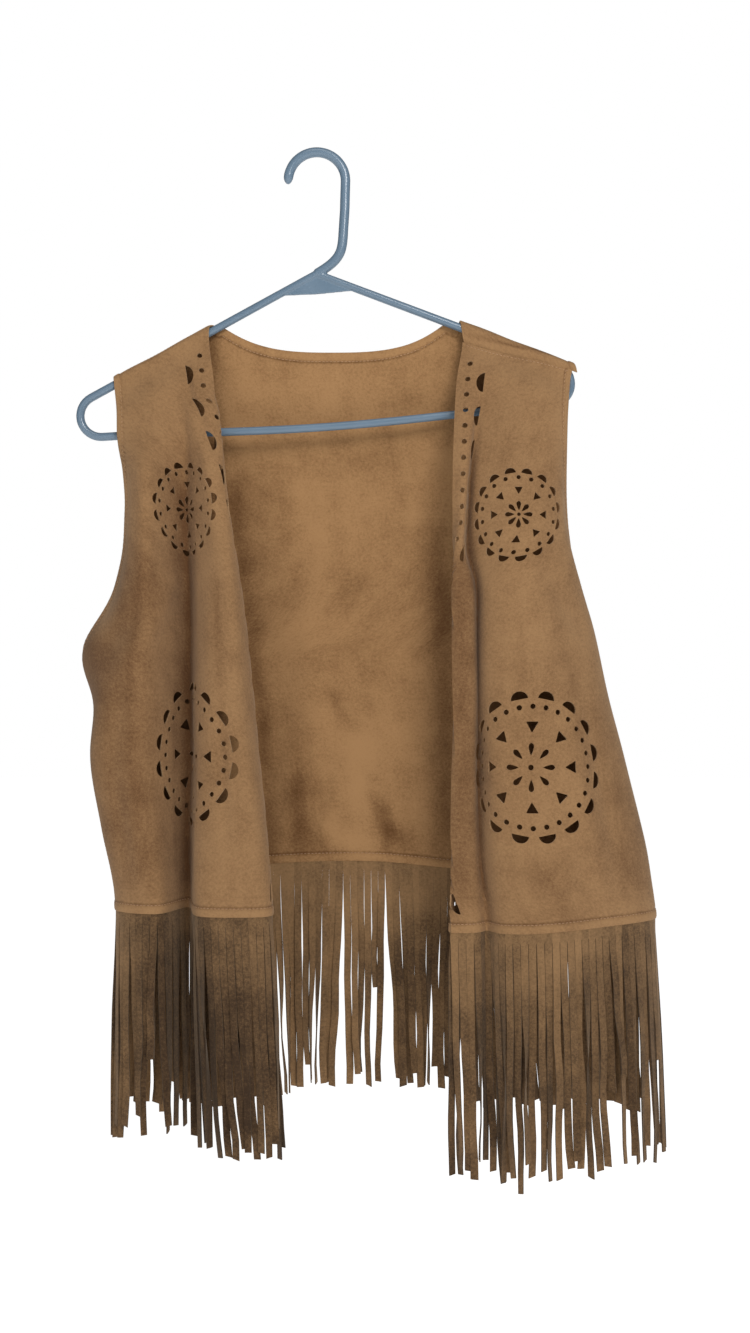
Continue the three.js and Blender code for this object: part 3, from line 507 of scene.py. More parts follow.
class Panel:
    """One piece of the pattern. Its flat measures are a, along the section, and h, its height. Above
    the arm h goes on round the roll and, on the right shoulder, down the other side."""

    def __init__(self, name, stations, section, face, top, underarm, hem, folds, streaks):
        self.name = name
        self.names = stations.names
        self.face = face
        self.top = top
        self.underarm = underarm
        self.hem = hem
        self.levels = np.arange(-128.0, -662.0, -LEVEL_STEP)
        rows = []
        lengths = []
        station_marks = []
        for level in self.levels:
            samples, marks = drawn_curve(section(level))
            station_marks.append(marks[::CURVE_STEPS])
            slope_in = (samples[1] - samples[0]) / (marks[1] - marks[0])
            slope_out = (samples[-1] - samples[-2]) / (marks[-1] - marks[-2])
            along = np.arange(-10.0, REACH)
            row = np.stack([np.interp(along, marks, samples[:, k]) for k in range(2)], axis=1)
            row += np.minimum(along, 0)[:, None] * slope_in
            row += np.maximum(along - marks[-1], 0)[:, None] * slope_out
            rows.append(row)
            lengths.append(marks[-1])
        self.table = np.array(rows)
        self.lengths = np.array(lengths)
        self.station_marks = np.array(station_marks)
        self.folds = [{**fold, 'path': self.on_pattern(fold['path'])} for fold in folds]
        self.streaks = [{**streak, 'path': self.on_pattern(streak['path'])} for streak in streaks]
        middle = self.across(np.array([0.0, 100.0]), np.array([-500.0, -500.0]))[0]
        runs_right = middle[1] > middle[0]
        self.flip = -1.0 if (runs_right if face > 0 else not runs_right) else 1.0

    def length(self, h):
        return np.interp(-h, -self.levels, self.lengths)

    def on_pattern(self, path):
        """A path of (station, offset, height) places, as points of the flat pattern between them."""
        def place(name, offset, h):
            return float(np.interp(-h, -self.levels, self.station_marks[:, self.names.index(name)])) + offset

        points = []
        for (name, offset, h), (next_name, next_offset, next_h) in zip(path, path[1:]):
            for step in range(PATH_STEPS):
                share = step / PATH_STEPS
                level = between(h, next_h, share)
                ahead = place(next_name, next_offset, level)
                points.append((between(place(name, offset, level), ahead, share), level))
        return points + [(place(*path[-1]), path[-1][2])]

    def across(self, a, h):
        row = np.clip((self.levels[0] - h) / LEVEL_STEP, 0, len(self.levels) - 1.001)
        column = np.clip(a + 10.0, 0, REACH + 8.0)
        i, j = row.astype(int), column.astype(int)
        f, g = (row - i)[:, None], (column - j)[:, None]
        near = between(self.table[i, j], self.table[i, j + 1], g)
        far = between(self.table[i + 1, j], self.table[i + 1, j + 1], g)
        place = between(near, far, f)
        return place[:, 0], place[:, 1]

    def point(self, a, h):
        x, y = self.across(a, h)
        contact = arm_top(x) - ROLL
        over = h - contact
        turn = np.clip(over / ROLL, 0, math.pi)
        settled = between(self.face * ROLL, y, eased(-over, 0, SETTLE))
        deep = np.where(over > 0, self.face * ROLL * np.cos(turn), settled)
        past = np.maximum(over - math.pi * ROLL, 0)
        high = np.where(over > 0, contact + ROLL * np.sin(turn) - past, h)
        return np.stack([x, deep, high], axis=1)

    def normal(self, a, h):
        step = 0.8
        across = self.point(a + step, h) - self.point(a - step, h)
        up = self.point(a, h + step) - self.point(a, h - step)
        normal = np.cross(across, up)
        return self.flip * normal / np.linalg.norm(normal, axis=1)[:, None]

    def relief(self, a, h):
        """How far the cloth stands out from its main form: soft folds and slight puckers."""
        x = self.across(a, h)[0]
        out = 0.50 * np.sin(a / 23 + h / 61) * np.sin(h / 37 + a / 90) + 0.24 * np.sin(a / 9.1 - h / 33 + 1.0)
        out += 0.14 * np.sin(a * 0.95) * near(h - self.hem(x), HEM_BAND + 2, 4.0)
        for fold in self.folds:
            out += fold['by'] * stroke(a, h, fold)
        return out

    def swell(self, a, h):
        """Extra thickness on each face at the turned and stitched edges, with a groove at the stitches."""
        x = self.across(a, h)[0]
        open_side = eased(h, self.underarm(x) + 2, self.underarm(x) + 10)
        out = band(h - self.hem(x), HEM_BAND) + band(self.length(h) - a, ARM_BAND) * open_side
        if self.face > 0:
            open_neck = eased(x, NECK_LEFT + 6, NECK_LEFT + 16)
            open_neck *= 1 - eased(x, NECK_RIGHT - 18, NECK_RIGHT - 7)
            out += band(a, ARM_BAND) * open_side + 1.2 * band(self.top(x) - h, NECK_BAND) * open_neck
        return out

    def shade(self, a, h):
        """How dark the colour is laid at each place: painted shade in the valleys, on surfaces turned from
        the light, in the fronts' shadow on the back and in the stitch grooves, with some of the suede's own
        streaks and paler blotches. Worn edges are paler.
        """
        x = self.across(a, h)[0]
        dark = np.zeros_like(a)
        for streak in self.streaks:
            dark += streak['by'] * stroke(a, h, streak)
        # Painted shade in the stitch groove beside each turned edge; the paler band on the edge itself is
        # wear.
        rim = h - self.hem(x)
        dark += 0.30 * near(rim, HEM_BAND + 0.6, 0.9) - 0.14 * near(rim, HEM_BAND / 2, 3.0)
        open_side = eased(h, self.underarm(x) + 2, self.underarm(x) + 10)
        rim = self.length(h) - a
        dark += (0.22 * near(rim, ARM_BAND + 0.5, 0.9) - 0.12 * near(rim, ARM_BAND / 2, 2.4)) * open_side
        if self.face > 0:
            rim = self.top(x) - h
            dark += 0.34 * near(rim, NECK_BAND + 0.8, 1.1) - 0.10 * near(rim, NECK_BAND / 2, 3.0)
        return dark

    def lining_with_painted_shade(self, a, h):
        """The same on the wrong side, with painted shade added: all over inside the fronts, and inside the
        back where the fronts cover it.
        """
        if self.face < 0:
            return self.shade(a, h) + FRONT_LINING_PAINTED_SHADE
        x = self.across(a, h)[0]
        shadowed_by_fronts = 1 - eased(x, *OPEN_FROM) * (1 - eased(x, *OPEN_TO))
        return self.shade(a, h) + BACK_LINING_PAINTED_SHADE * shadowed_by_fronts

    def place(self, share, height_at):
        length = np.interp(-CHEST_LEVEL, -self.levels, self.lengths)
        h = height_at(self.across(share * length, np.full_like(share, CHEST_LEVEL))[0])
        a = share * length
        for _ in range(8):
            a = share * self.length(h)
            h = height_at(self.across(a, h)[0])
        return np.stack([a, h], axis=1)


HEM_BAND = 7.0
ARM_BAND = 5.6
NECK_BAND = 7.5
# Painted shade for the wrong side: even inside the fronts, and inside the back wherever it lies outside the
# open span between the fronts.
FRONT_LINING_PAINTED_SHADE = 0.35
BACK_LINING_PAINTED_SHADE = 0.45
OPEN_FROM = (-96, -72)
OPEN_TO = (114, 132)


def near(distance, place, width):
    return np.exp(-((distance - place) / width) ** 2)


def band(distance, width):
    """A turned and stitched edge: a slightly thicker band with a groove along its stitches."""
    inside = eased(distance, -0.5, 0.8) * (1 - eased(distance, width - 1.2, width + 1.0))
    return 0.65 * inside - 0.30 * near(distance, width + 0.3, 1.0)


def stroke(a, h, line):
    """Closeness, 0 to 1, to a soft line through points of the flat pattern, fading out at its ends."""
    points = line['path']
    best = np.zeros_like(a)
    spans = len(points) - 1
    for i, ((a0, h0), (a1, h1)) in enumerate(zip(points, points[1:])):
        along = np.array([a1 - a0, h1 - h0])
        share = ((a - a0) * along[0] + (h - h0) * along[1]) / (along @ along)
        held = np.clip(share, 0, 1)
        distance = np.hypot(a - a0 - held * along[0], h - h0 - held * along[1])
        through = (i + held) / spans
        fade = eased(through, 0, line['fade']) * (1 - eased(through, 1 - line['fade'], 1))
        best = np.maximum(best, np.exp(-(distance / line['width']) ** 2) * fade)
    return best


def soft_line(width, by, *path, fade=0.25):
    """A fold, by its rise in mm, or a streak, by its darkness, along (station, offset, height) places."""
    return {'width': width, 'by': by, 'path': path, 'fade': fade}


def over_left(x):
    return arm_top(x) - ROLL + math.pi / 2 * ROLL


def lap(x):
    return between(LAP_NECK, LAP_TIP, eased(x, NECK_RIGHT, 214.0))


def over_right(x):
    return arm_top(x) - ROLL - lap(x)


def neckline(x):
    left, right = NECK_ENDS
    share = (x - left) / (right - left)
    ends = between(arm_top(np.array(left)) - ROLL, arm_top(np.array(right)) - ROLL, share)
    return between(NECK_DIP, ends, np.abs(2 * share - 1) ** NECK_FLATNESS)


def back_top(x):
    shoulder = np.where(x < 0, over_left(x), arm_top(x) - ROLL + math.pi * ROLL + lap(x))
    bare = np.where(x < 0, eased(x, NECK_LEFT, NECK_LEFT + NECK_WRAP[0]),
                    1 - eased(x, NECK_RIGHT - NECK_WRAP[1], NECK_RIGHT))
    scooped = np.minimum(neckline(x), arm_top(x) - ROLL)
    return between(shoulder, scooped, bare)


def back_hem(x):
    share = np.maximum(0, 1 - ((x - 20) / 150) ** 2)
    return HEM_BACK[0] + HEM_BACK[1] * share ** 2


def right_hem(x):
    return between(HEM_RIGHT[0], HEM_RIGHT[1], eased(x, 110.0, 280.0))


left_front = Panel(
    'front_left_suede', left_stations, left_section, -1, over_left, lambda x: 0 * x + UNDERARM_LEFT,
    lambda x: 0 * x + HEM_LEFT,
    folds=[
        soft_line(7.0, 1.4, ('crest', 6, -470), ('crest', 10, -560), ('crest', 8, -620)),
        soft_line(9.0, -2.0, ('crest', -16, -330), ('crest', 8, -385), ('turn', 12, -418)),
        soft_line(8.0, 1.5, ('valley', 10, -345), ('crest', -4, -400), ('turn', -6, -445)),
        soft_line(8.0, 1.2, ('lobe', 8, -350), ('lobe', 12, -430), ('wall', -8, -520)),
        soft_line(8.0, 1.4, ('crest', 0, -195), ('crest', -10, -228), ('valley', 6, -258)),
        soft_line(5.0, -1.1, ('lobe', -4, -430), ('lobe', 4, -500), ('lobe', 0, -590)),
        soft_line(6.0, -1.2, ('crest', 16, -430), ('crest', 24, -520), ('crest', 20, -610)),
        soft_line(5.0, 1.0, ('wall', 4, -530), ('wall', 8, -580), ('wall', 4, -622)),
        soft_line(5.0, -3.0, ('edge', 22, -165), ('edge', 23, -215), ('edge', 23, -262)),
    ],
    # Painted shade: the two valley streaks darken the valley, and the two 'side' streaks the shaded underarm
    # side. The wide crest and turn streaks darken those bands, and the thin ones are fine dark lines along
    # the folds.
    streaks=[
        soft_line(15.0, 0.34, ('valley', 0, -250), ('valley', 2, -400), ('valley', 2, -640), fade=0.12),
        soft_line(5.0, 0.22, ('valley', 0, -270), ('valley', -2, -400), ('valley', 0, -640), fade=0.08),
        soft_line(30.0, 0.26, ('crest', 12, -300), ('crest', 14, -420), ('crest', 14, -640)),
        soft_line(22.0, 0.42, ('side', -12, -405), ('side', -14, -450), ('side', -8, -520), fade=0.08),
        soft_line(12.0, 0.3, ('side', -8, -470), ('side', -8, -550), ('side', -8, -640), fade=0.08),
        soft_line(3.0, 0.12, ('lobe', 0, -330), ('lobe', 3, -420), ('lobe', 0, -560)),
        soft_line(3.5, 0.12, ('crest', 5, -300), ('crest', 10, -420), ('crest', 8, -560)),
        soft_line(12.0, 0.12, ('turn', 4, -400), ('turn', 8, -480), ('turn', 6, -640)),
        soft_line(3.0, 0.12, ('valley', 14, -410), ('valley', 18, -520), ('valley', 16, -640)),
    ],
)
right_front = Panel(
    'front_right_suede', right_stations, right_section, -1, over_right, lambda x: 0 * x + UNDERARM_RIGHT,
    right_hem,
    folds=[
        soft_line(9.0, -1.4, ('crest', 6, -200), ('crest', 12, -262), ('crest', 8, -300)),
        soft_line(10.0, -1.8, ('outer', -6, -325), ('outer', 12, -375), ('turn', -6, -404)),
        soft_line(10.0, 1.2, ('bank', 8, -360), ('crest', 0, -415), ('crest', -6, -445)),
        soft_line(11.0, 1.4, ('outer', -4, -470), ('outer', 2, -560), ('outer', 8, -630)),
        soft_line(9.0, 0.9, ('bank', 10, -585), ('crest', 14, -600), ('outer', -10, -590)),
        soft_line(6.0, -1.2, ('crest', 10, -575), ('crest', 14, -605), ('crest', 10, -632)),
        soft_line(8.0, -1.3, ('outer', 14, -440), ('outer', 20, -520), ('outer', 22, -600)),
    ],
    # Painted shade: the valley streak darkens the crease, and the roll streak the rolled strip that faces
    # away from the light. The others darken the turn and a few fine lines and patches.
    streaks=[
        soft_line(7.0, 0.45, ('valley', 0, -230), ('valley', 1, -400), ('valley', 1, -650), fade=0.12),
        soft_line(11.0, 0.28, ('roll', 5, -320), ('roll', 8, -450), ('roll', 9, -640), fade=0.12),
        soft_line(26.0, 0.16, ('turn', -10, -420), ('turn', -12, -520), ('turn', -14, -640)),
        soft_line(4.0, 0.1, ('crest', 0, -350), ('crest', 6, -430), ('crest', 0, -450)),
        soft_line(6.0, 0.1, ('outer', 0, -340), ('outer', 8, -470), ('outer', 6, -620)),
        soft_line(14.0, 0.12, ('bank', 14, -560), ('crest', 20, -620), ('outer', 0, -650)),
    ],
)
back = Panel(
    'back_suede', back_stations, back_section, 1, back_top,
    lambda x: between(UNDERARM_LEFT, UNDERARM_RIGHT, eased(x, -170.0, 200.0)), back_hem,
    folds=[
        soft_line(14.0, 1.8, ('fold3', -8, -240), ('fold3', 0, -330), ('fold3', -8, -420)),
        soft_line(8.0, 2.4, ('fold3', 14, -500), ('fold3', -2, -550), ('fold2', 30, -585)),
        soft_line(9.0, -1.4, ('fold2', 22, -490), ('fold2', 18, -545), ('fold2', 8, -590)),
        soft_line(16.0, -1.6, ('fold4', 0, -300), ('fold4', 10, -420), ('fold4', 4, -540)),
        soft_line(12.0, 2.2, ('fold5', -10, -380), ('fold5', 8, -450), ('fold5', 6, -560)),
        soft_line(12.0, -1.5, ('fold1', 8, -240), ('fold1', 14, -290), ('fold1', 4, -330)),
        soft_line(9.0, 1.4, ('fold4', -8, -560), ('fold4', 16, -545), ('fold5', 4, -560)),
        soft_line(6.0, -1.2, ('fold4', 20, -470), ('fold4', 34, -490), ('fold5', 0, -520)),
    ],
    # Painted shadow: the first two streaks darken the back beside each front's edge, where the fronts shade
    # it. The two wide streaks at the end darken the turned sides, the negative ones are paler blotches of the
    # suede, and the rest darken small patches and lines.
    streaks=[
        soft_line(9.0, 0.36, ('fold2', -16, -260), ('fold2', -12, -350), ('fold2', -4, -460),
                  ('fold2', 2, -630), fade=0.1),
        soft_line(9.0, 0.3, ('fold5', 14, -290), ('fold5', 12, -450), ('fold5', 6, -620)),
        soft_line(8.0, 0.12, ('fold2', 24, -500), ('fold2', 30, -560), ('fold2', 22, -600)),
        soft_line(8.0, 0.22, ('fold4', -10, -520), ('fold4', 0, -560), ('fold4', 30, -585)),
        soft_line(5.0, 0.16, ('fold3', 10, -440), ('fold3', 26, -470), ('fold4', -14, -486)),
        soft_line(4.0, 0.18, ('fold4', -22, -505), ('fold4', -6, -522), ('fold4', 14, -532)),
        soft_line(15.0, 0.1, ('fold3', -14, -450), ('fold3', -16, -530), ('fold3', -12, -610)),
        soft_line(8.0, 0.09, ('fold2', 14, -520), ('fold2', 30, -545), ('fold2', 22, -596)),
        soft_line(9.0, -0.26, ('fold3', 6, -555), ('fold3', 16, -575), ('fold4', -6, -585)),
        soft_line(13.0, -0.3, ('fold4', -16, -480), ('fold4', -14, -535), ('fold4', -18, -590)),
        soft_line(14.0, -0.16, ('fold3', 6, -250), ('fold3', 10, -330), ('fold3', 0, -430)),
        soft_line(7.0, 0.12, ('fold3', -10, -500), ('fold3', -16, -530), ('fold3', -30, -560)),
        soft_line(6.0, 0.22, ('fold4', 4, -540), ('fold4', 10, -565), ('fold4', 2, -592)),
        soft_line(40.0, 0.3, ('rightTurn', 0, -240), ('rightTurn', 4, -400),
                  ('rightTurn', 4, -600), fade=0.1),
        soft_line(34.0, 0.3, ('leftTurn', 0, -240), ('leftTurn', 4, -400), ('leftTurn', 4, -600), fade=0.1),
    ],
)

# Cut-outs: dies punch two rosettes and a border of half-moon slots and dots into each front while it
# is flat. A rosette has 16 half-moons, a ring of dots, eight triangles and a flower of eight petals.
ROSETTES = {
    'upper': {'chord': 34.5, 'moon': (9.4, 4.7), 'dots': 18, 'dot_ring': 31.0, 'dot': 3.8,
              'triangles': 21.0, 'triangle': 7.3, 'petal': (3.2, 11.2, 4.2), 'hub': 3.2},
    'lower': {'chord': 55.0, 'moon': (14.0, 6.5), 'dots': 28, 'dot_ring': 48.6, 'dot': 4.4,
              'triangles': 33.5, 'triangle': 10.4, 'petal': (9.6, 19.5, 4.8), 'hub': 4.6},
}
MOONS = 16
SPOKES = 8
LEFT_CENTRES = {'upper': (71.0, -296.0, 0.28), 'lower': (110.0, -500.0, 0.1)}
RIGHT_CENTRES = {'upper': (71.0, -304.0, 0.16), 'lower': (110.0, -507.0, 0.0)}
FIRST_SLOT = {'left': -184.0, 'right': -192.0}
SLOT = {'across': 19.5, 'size': (16.5, 6.5), 'spacing': 28.4, 'count': 16}
BORDER_DOT = {'across': 9.0, 'above': 16.0, 'size': 4.6, 'spacing': 13.4, 'count': 34}


def moon_outline(width, height):
    angles = [math.pi * i / 10 for i in range(11)]
    arc = [(width / 2 * math.cos(angle), height * math.sin(angle)) for angle in angles]
    return arc + [(-width / 6, 0.0), (width / 6, 0.0)]


def round_outline(diameter, sides=10):
    angles = [2 * math.pi * i / sides for i in range(sides)]
    return [(diameter / 2 * math.cos(angle), diameter / 2 * math.sin(angle)) for angle in angles]


def triangle_outline(side):
    corners = [(side / math.sqrt(3) * math.cos(angle), side / math.sqrt(3) * math.sin(angle))
               for angle in (math.radians(d) for d in (270, 30, 150))]
    outline = []
    for i, corner in enumerate(corners):
        for other, share in ((corners[i - 1], 0.07), (corners[(i + 1) % 3], 0.07)):
            outline.append(tuple(c + (o - c) * share for c, o in zip(corner, other)))
        outline.append(tuple(c + (o - c) * 0.5 for c, o in zip(corner, corners[(i + 1) % 3])))
    return outline


def petal_outline(start, end, width):
    half = [(0.0, start), (0.20, 0.2), (0.36, 0.45), (0.47, 0.68), (0.40, 0.86), (0.17, 0.98)]
    right = [(width * x, start + (end - start) * y) for x, y in half[1:]]
    return [(0.0, start)] + right + [(0.0, end)] + [(-x, y) for x, y in right[::-1]]


def set_out(outline, centre, bearing, distance):
    """An outline moved out from a centre by a distance, on a bearing."""
    cosine, sine = math.cos(bearing), math.sin(bearing)
    return [(centre[0] + x * cosine - (y + distance) * sine, centre[1] + x * sine + (y + distance) * cosine)
            for x, y in outline]


def punched(centres, first_slot):
    """Outlines of every hole in one front, on its flat pattern."""
    holes = []
    for kind, (across, level, lean) in centres.items():
        size = ROSETTES[kind]
        centre = (across, level)
        first = len(holes)
        for i in range(MOONS):
            bearing = 2 * math.pi * (i + 0.5) / MOONS
            holes.append(set_out(moon_outline(*size['moon']), centre, bearing, size['chord']))
        for i in range(size['dots']):
            bearing = 2 * math.pi * i / size['dots']
            holes.append(set_out(round_outline(size['dot']), centre, bearing, size['dot_ring']))
        for i in range(SPOKES):
            bearing = 2 * math.pi * i / SPOKES
            holes.append(set_out(triangle_outline(size['triangle']), centre, bearing, size['triangles']))
            holes.append(set_out(petal_outline(*size['petal']), centre, bearing, 0.0))
        holes.append(set_out(round_outline(size['hub']), centre, 0.0, 0.0))
        holes[first:] = [[(x + lean * (level - y), y) for x, y in hole] for hole in holes[first:]]
    for i in range(SLOT['count']):
        centre = (SLOT['across'] + SLOT['size'][1] / 2, first_slot - i * SLOT['spacing'])
        holes.append(set_out(moon_outline(*SLOT['size']), centre, math.pi / 2, 0.0))
    for i in range(BORDER_DOT['count']):
        centre = (BORDER_DOT['across'], first_slot + BORDER_DOT['above'] - i * BORDER_DOT['spacing'])
        holes.append(set_out(round_outline(BORDER_DOT['size'], 8), centre, 0.0, 0.0))
    return holes


def inside(points, outline):
    """Which points lie in a closed outline."""
    x, y = points[:, 0], points[:, 1]
    result = np.zeros(len(points), bool)
    for (x0, y0), (x1, y1) in zip(outline, [*outline[1:], outline[0]]):
        if y0 != y1:
            crosses = ((y0 > y) != (y1 > y)) & (x < (x1 - x0) * (y - y0) / (y1 - y0) + x0)
            result ^= crosses
    return result


def pattern_grid(panel):
    """The pattern's points in rows, closer together at the shoulder roll, the hem and the edges."""
    reach = 10.0 if panel.face > 0 else 6.0
    roll_rows = 12 if panel.face > 0 else 6

    def contact(x):
        return np.minimum(arm_top(x) - ROLL, panel.top(x) - reach)

    tip = panel.across(np.array([panel.length(-190.0)]), np.array([-190.0]))[0]
    upper = round(float(contact(tip)[0] - panel.underarm(tip)[0]) / CELL_DOWN)
    lower = round(float(panel.underarm(tip)[0] - panel.hem(tip)[0] - 12) / CELL_DOWN)
    rows = [lambda x, s=i / roll_rows: between(panel.top(x), contact(x), s) for i in range(roll_rows)]
    rows += [lambda x, s=i / upper: between(contact(x), panel.underarm(x), s) for i in range(upper)]
    rows += [lambda x, s=i / lower: between(panel.underarm(x), panel.hem(x) + 12, s) for i in range(lower)]
    rows += [lambda x, d=d: panel.hem(x) + d for d in (12.0, 9.6, 8.0, 7.0, 6.0, 4.0, 1.4, 0.0)]
    across = round(float(panel.length(-500.0)) / CELL_ACROSS)
    shares = {round(i / across, 5) for i in range(across + 1)}
    edge_shares = [d / float(panel.length(CHEST_LEVEL)) for d in (1.0, 2.6, 4.4, 5.6, 6.8, 8.2)]
    shares |= {round(1 - share, 5) for share in edge_shares}
    if panel.face > 0:
        shares |= {round(share, 5) for share in edge_shares}
        first, last = (float(panel.across(np.array([a]), np.array([-150.0]))[0][0])
                       for a in (0.0, float(panel.length(-150.0))))
        for start, end in ((NECK_LEFT, NECK_LEFT + NECK_WRAP[0]), (NECK_RIGHT - NECK_WRAP[1], NECK_RIGHT)):
            shares |= {round((between(start, end, i / 12) - first) / (last - first), 5) for i in range(13)}
    shares = np.array(sorted(shares))
    keep = np.concatenate([[True], np.diff(shares) > 0.0012])
    shares = shares[keep]
    return [panel.place(shares, row) for row in rows]


def cut_pattern(panel, holes):
    """The flat pattern as triangles, with its holes cut out exactly along their outlines."""
    rows = pattern_grid(panel)
    ends = [row[-1] for row in rows[1:-1]]
    starts = [row[0] for row in rows[-2:0:-1]]
    boundary = [*rows[0], *ends, *rows[-1][::-1], *starts]
    inner = np.concatenate([row[1:-1] for row in rows[1:-1]])
    free = np.ones(len(inner), bool)
    for hole in holes:
        outline = np.array(hole)
        low, high = outline.min(axis=0) - 2, outline.max(axis=0) + 2
        close = np.nonzero(((inner > low) & (inner < high)).all(axis=1) & free)[0]
        if len(close):
            gaps = np.linalg.norm(inner[close][:, None] - outline[None], axis=2).min(axis=1)
            free[close] = (gaps > 1.3) & ~inside(inner[close], hole)
    points = [tuple(p) for p in boundary]
    edges = [(i, (i + 1) % len(points)) for i in range(len(points))]
    for hole in holes:
        start = len(points)
        points += hole
        edges += [(start + i, start + (i + 1) % len(hole)) for i in range(len(hole))]
    points += [tuple(p) for p in inner[free]]
    flat = [Vector((float(a), float(h))) for a, h in points]
    found, _, faces, *_ = delaunay_2d_cdt(flat, edges, [], 0, 1e-5, False)
    found = np.array([tuple(v) for v in found])
    faces = np.array([face for face in faces if len(face) == 3])
    middles = found[faces].mean(axis=1)
    keep = inside(middles, [tuple(p) for p in boundary])
    for hole in holes:
        outline = np.array(hole)
        low, high = outline.min(axis=0), outline.max(axis=0)
        close = np.nonzero(((middles > low) & (middles < high)).all(axis=1) & keep)[0]
        if len(close):
            keep[close] = ~inside(middles[close], hole)
    return found, faces[keep]


def sheet_object(name, outer, inner, faces, marks, pattern):
    """A closed thin shell between an outer and an inner surface in mm, with its flat pattern as UV.

    Each mark has its values on the outer surface and those on the inner one.
    """
    count = len(outer)
    free = {}
    for face in faces:
        for start, end in zip(face, [*face[1:], face[0]]):
            if free.pop((int(end), int(start)), None) is None:
                free[(int(start), int(end))] = True
    walls = [(start, start + count, end + count, end) for start, end in free]
    front = [tuple(int(i) for i in face) for face in faces]
    behind = [tuple(i + count for i in face[::-1]) for face in front]
    mesh = bpy.data.meshes.new(name)
    mesh.from_pydata([tuple(p) for p in np.concatenate([outer, inner]) * MM], [], front + behind + walls)
    kinds = [0] * len(front) + [1] * len(behind) + [2] * len(walls)
    mesh.polygons.foreach_set('material_index', kinds)
    loops = np.zeros(len(mesh.loops), int)
    mesh.loops.foreach_get('vertex_index', loops)
    layer = mesh.uv_layers.new(name='Pattern')
    layer.data.foreach_set('uv', (pattern[loops % count] * MM).ravel())
    for mark, values in marks.items():
        both = np.concatenate(values).astype(np.float32)
        mesh.attributes.new(mark, 'FLOAT', 'POINT').data.foreach_set('value', both)
    sheet = bpy.data.objects.new(name, mesh)
    bpy.context.scene.collection.objects.link(sheet)
    bpy.ops.object.select_all(action='DESELECT')
    sheet.select_set(True)
    bpy.context.view_layer.objects.active = sheet
    return sheet


def suede_finish(name, light, dark, blotch, extra=None):
    """Brushed suede: cloudy pile over fine fibres, darkened by a per-point attribute that holds painted shade
    and the suede's own streaks.
    """
    suede = Finish(name)
    flat = suede.weave_places()
    broad = suede.noise(flat, 13.0, 3.0, 0.55)
    brushed = suede.noise(suede.stretched(flat, (85.0, 16.0, 1.0)), 1.0, 4.0, 0.6)
    patchy = suede.noise(flat, 46.0, 6.0, 0.72)
    fibre = suede.noise(flat, 430.0, 3.0, 0.7)
    speck = suede.noise(flat, 1300.0, 2.0, 0.6)
    tone = 0.66 + (broad - 0.5) * blotch + (brushed - 0.5) * 0.26 + (patchy - 0.5) * 0.55
    # The subtracted attribute paints shade into the colour, in valleys, shadows and stitch grooves, along
    # with the suede's own streaks.
    tone = tone + (fibre - 0.5) * 0.8 + (speck - 0.5) * 0.45 - suede.attribute('nap_and_painted_shade')
    if extra:
        tone = tone + suede.attribute(extra)
    shade = suede.spread(tone, 0.0, 1.0)
    suede.surface(
        Base_Color=suede.blend(shade, dark, light),
        Roughness=0.88 + (fibre - 0.5) * 0.15,
        Normal=suede.bump(fibre * 0.55 + speck * 0.45, 0.0007, 0.38),
        Sheen_Weight=0.18,
        Sheen_Roughness=0.55,
        Sheen_Tint=rgb(1.0, 0.82, 0.62),
        Specular_IOR_Level=0.12,
    )
    return suede.material


suede_outside = suede_finish('suede_outside', rgb(0.318, 0.180, 0.081), rgb(0.106, 0.047, 0.018), 0.50)
suede_inside = suede_finish('suede_inside', rgb(0.362, 0.200, 0.086), rgb(0.116, 0.051, 0.017), 0.8)
suede_cut = suede_finish('suede_cut_edge', rgb(0.40, 0.25, 0.13), rgb(0.22, 0.12, 0.055), 0.3)


def dressed_panel(panel, node, holes):
    """The panel's sheet: cut flat, folded, given its relief and thickness, and set in place of its node."""
    flat, faces = cut_pattern(panel, holes)
    a, h = flat[:, 0], flat[:, 1]
    surface = panel.point(a, h)
    outward = panel.normal(a, h)
    middle = panel.relief(a, h)
    half = WALL / 2 + panel.swell(a, h)
    first, second, third = surface[faces[:, 0]], surface[faces[:, 1]], surface[faces[:, 2]]
    facing = (np.cross(second - first, third - first) * outward[faces[:, 0]]).sum()
    if facing < 0:
        faces = faces[:, ::-1]
    outer = surface + outward * (middle + half)[:, None]
    inner = surface + outward * (middle - half)[:, None]
    # Both faces carry painted shade: the outer from shade(), the inner with the lining's painted shade on
    # top.
    nap_and_painted_shade = (panel.shade(a, h), panel.lining_with_painted_shade(a, h))
    sheet = sheet_object(panel.name, outer, inner, faces, {'nap_and_painted_shade': nap_and_painted_shade}, flat)
    for material in (suede_outside, suede_inside, suede_cut):
        sheet.data.materials.append(material)
    bpy.ops.object.shade_smooth_by_angle(angle=math.radians(48))
    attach(sheet, "root")
    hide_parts(node)
    return sheet


left_sheet = dressed_panel(left_front, 'front_left', punched(LEFT_CENTRES, FIRST_SLOT['left']))
right_sheet = dressed_panel(right_front, 'front_right', punched(RIGHT_CENTRES, FIRST_SLOT['right']))
back_sheet = dressed_panel(back, 'back', [])


# Sewing: short thread stitches along both shoulders, the armholes, the neck edge and the hems, each
# sunk a little into the suede. The thread is tan polyester, slightly paler than the nap.
STITCH = {'length': 2.3, 'width': 0.62, 'pitch': 3.1}


def seam_path(panel, a, h, side):
    """Places and outward directions along a line of the pattern, on one face of the cloth."""
    a = np.asarray(a, float)
    h = np.asarray(h, float)
    outward = panel.normal(a, h)
    lift = panel.relief(a, h) + side * (WALL / 2 + panel.swell(a, h) + 0.08)
    return panel.point(a, h) + outward * lift[:, None], outward


